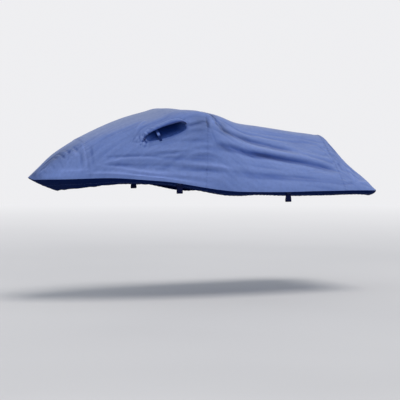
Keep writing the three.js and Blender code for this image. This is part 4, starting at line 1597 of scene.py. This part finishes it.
# %% Trees for stitches and strands
def sewn(name, lines):
    tree = Tree(name, {"Stitch length": STITCH_LONG * MM, "Pitch": (STITCH_LONG + STITCH_GAP) * MM})
    curve = tree.node("GeometryNodeMeshToCurve", (), {"Mesh": tree.given("Geometry")})
    steps = {"Curve": curve, "Length": tree.given("Pitch")}
    steps = tree.node("GeometryNodeResampleCurve", {"mode": "LENGTH"}, steps)
    bead = tree.node("GeometryNodeMeshUVSphere", (), {"Segments": 6, "Rings": 4, "Radius": 0.5})
    thin = STITCH_THICK * MM
    sizes = {"X": tree.given("Stitch length"), "Y": thin, "Z": thin}
    scale = tree.node("ShaderNodeCombineXYZ", (), sizes)
    bead = tree.node("GeometryNodeTransform", (), {"Geometry": bead, "Scale": scale})
    tangent = tree.node("GeometryNodeInputTangent")
    turn = tree.node("FunctionNodeAlignRotationToVector", {"axis": "X"}, {"Vector": tangent})
    copies = {"Points": steps, "Instance": bead, "Rotation": turn}
    copies = tree.node("GeometryNodeInstanceOnPoints", (), copies)
    return tree.bake(lines_object(name, lines), copies, THREAD_FINISH)


def woven_strands(name, lines):
    tree = Tree(name, {"Strand radius": STRAND_RADIUS * MM})
    curve = tree.node("GeometryNodeMeshToCurve", (), {"Mesh": tree.given("Geometry")})
    profile = {"Resolution": 5, "Radius": tree.given("Strand radius")}
    profile = tree.node("GeometryNodeCurvePrimitiveCircle", (), profile)
    swept = {"Curve": curve, "Profile Curve": profile, "Fill Caps": True}
    swept = tree.node("GeometryNodeCurveToMesh", (), swept)
    return tree.bake(lines_object(name, lines), swept, STRAND_FINISH)


# %% Sew the seams, the hem, the cowls and the loops
SEAM_ROWS = (-9.0, -3.0)
SEAM_LINE_STEPS, SEAM_LINE_END = 260, 0.995
THREAD_PROUD = 0.45
HEM_ROW = 6
COWL_ROW = 0.55
COWL_LINE_STEPS = 120
TACK_REACH, TACK_STEPS = 0.42, 9


def seam_lines():
    across = np.linspace(-SEAM_LINE_END, SEAM_LINE_END, SEAM_LINE_STEPS)
    names = list(PANELS)
    lines = []
    for before, panel in zip(names, names[1:]):
        for row in SEAM_ROWS:
            x = seam_x(before, across) + row
            lines.append(surface(x, across, panel)[0] + THREAD_PROUD * taut_normal(x, across))
    return lines


def hem_stitch_lines():
    lines = []
    for rings in hem_lines.values():
        for points, normals in rings:
            lines.append(points[:, HEM_ROW] + THREAD_PROUD * normals[:, HEM_ROW])
    return lines


def cowl_lines():
    s = np.linspace(COWL_END, 1 - COWL_END, COWL_LINE_STEPS)
    a = COWL_HALF * (2 * s - 1)
    b = lip_rise(s) + COWL_TALL * arch(s) + COWL_ROW * COWL_FLANGE
    return [vent.place(a, b, SEAT_GAP + CLOTH_THICK + THREAD_PROUD) for vent in VENTS.values()]


def tack_lines():
    """Two short rows across the sewn end of each loop."""
    lines = []
    for side in SIDES.values():
        for x in LOOP_PLACES.values():
            leaf = leaf_line(side, x, LEAF_OFF[1] + WEBBING_THICK / 2 + THREAD_PROUD)
            shares = np.linspace(-TACK_REACH, TACK_REACH, TACK_STEPS)
            lines += list(webbing_rows(side, x, leaf[1::2], shares))
    return lines


rows = {"seam": seam_lines(), "hem": hem_stitch_lines(), "cowl": cowl_lines(), "loop": tack_lines()}
stitches = {name: sewn(name + "_stitches", lines) for name, lines in rows.items()}
print("stitch triangles:", {name: triangles(piece) for name, piece in stitches.items()})

# %% Weave the strands over each mesh
STRAND_LIFT = MESH_TOP + STRAND_RADIUS * 0.9
STRAND_STEP = 6.0
STRAND_MARGIN = MESH_MARGIN * 0.7


def strand_lines(vent):
    """Lines along and up the opening, each as long as the oval is there."""
    wide, low, high = (size + STRAND_MARGIN for size in (HOLE_HALF, HOLE_LOW, HOLE_HIGH))
    lines = []
    for up in np.arange(-low + STRAND_PITCH, high, STRAND_PITCH):
        reach = wide * oval_share(up / (high if up > 0 else low))
        a = np.linspace(-reach, reach, max(int(2 * reach / STRAND_STEP), 3))
        lines.append(vent.place(a, up - TIP_DROP, STRAND_LIFT))
    for at in np.arange(-wide + STRAND_PITCH, wide, STRAND_PITCH):
        share = oval_share(at / wide)
        count = max(int((low + high) * share / STRAND_STEP), 3)
        up = np.linspace(-low * share, high * share, count)
        lines.append(vent.place(at, up - TIP_DROP, STRAND_LIFT))
    return lines


strands = {
    side: woven_strands(f"vent_strands_{side}", strand_lines(vent))
    for side, vent in VENTS.items()
}
print("strand triangles:", triangles(strands["port"]), "in", STRAND_PITCH, "mm squares")

# %% [markdown]
# ## Hand the pieces over
# Nothing here moves, so every piece rides on the one body.

# %% Hand the pieces over
VENT_PARTS = {
    "vent_cowl": (cowls, "cover_cloth"),
    "vent_mesh": (vent_meshes, "vent_mesh"),
    "vent_prop": (vent_props, "vent_prop"),
}


def hand_over(piece, node=None):
    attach(piece, "root")
    if node:
        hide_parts(node)


for panel, piece in panels.items():
    hand_over(piece, panel)
for side in SIDES:
    for part, (pieces, slot) in VENT_PARTS.items():
        hand_over(pieces[side], f"{part}_{side}")
for piece in stitches.values():
    hand_over(piece)
for piece in strands.values():
    hand_over(piece)
for name, piece in loops.items():
    hand_over(piece, name)
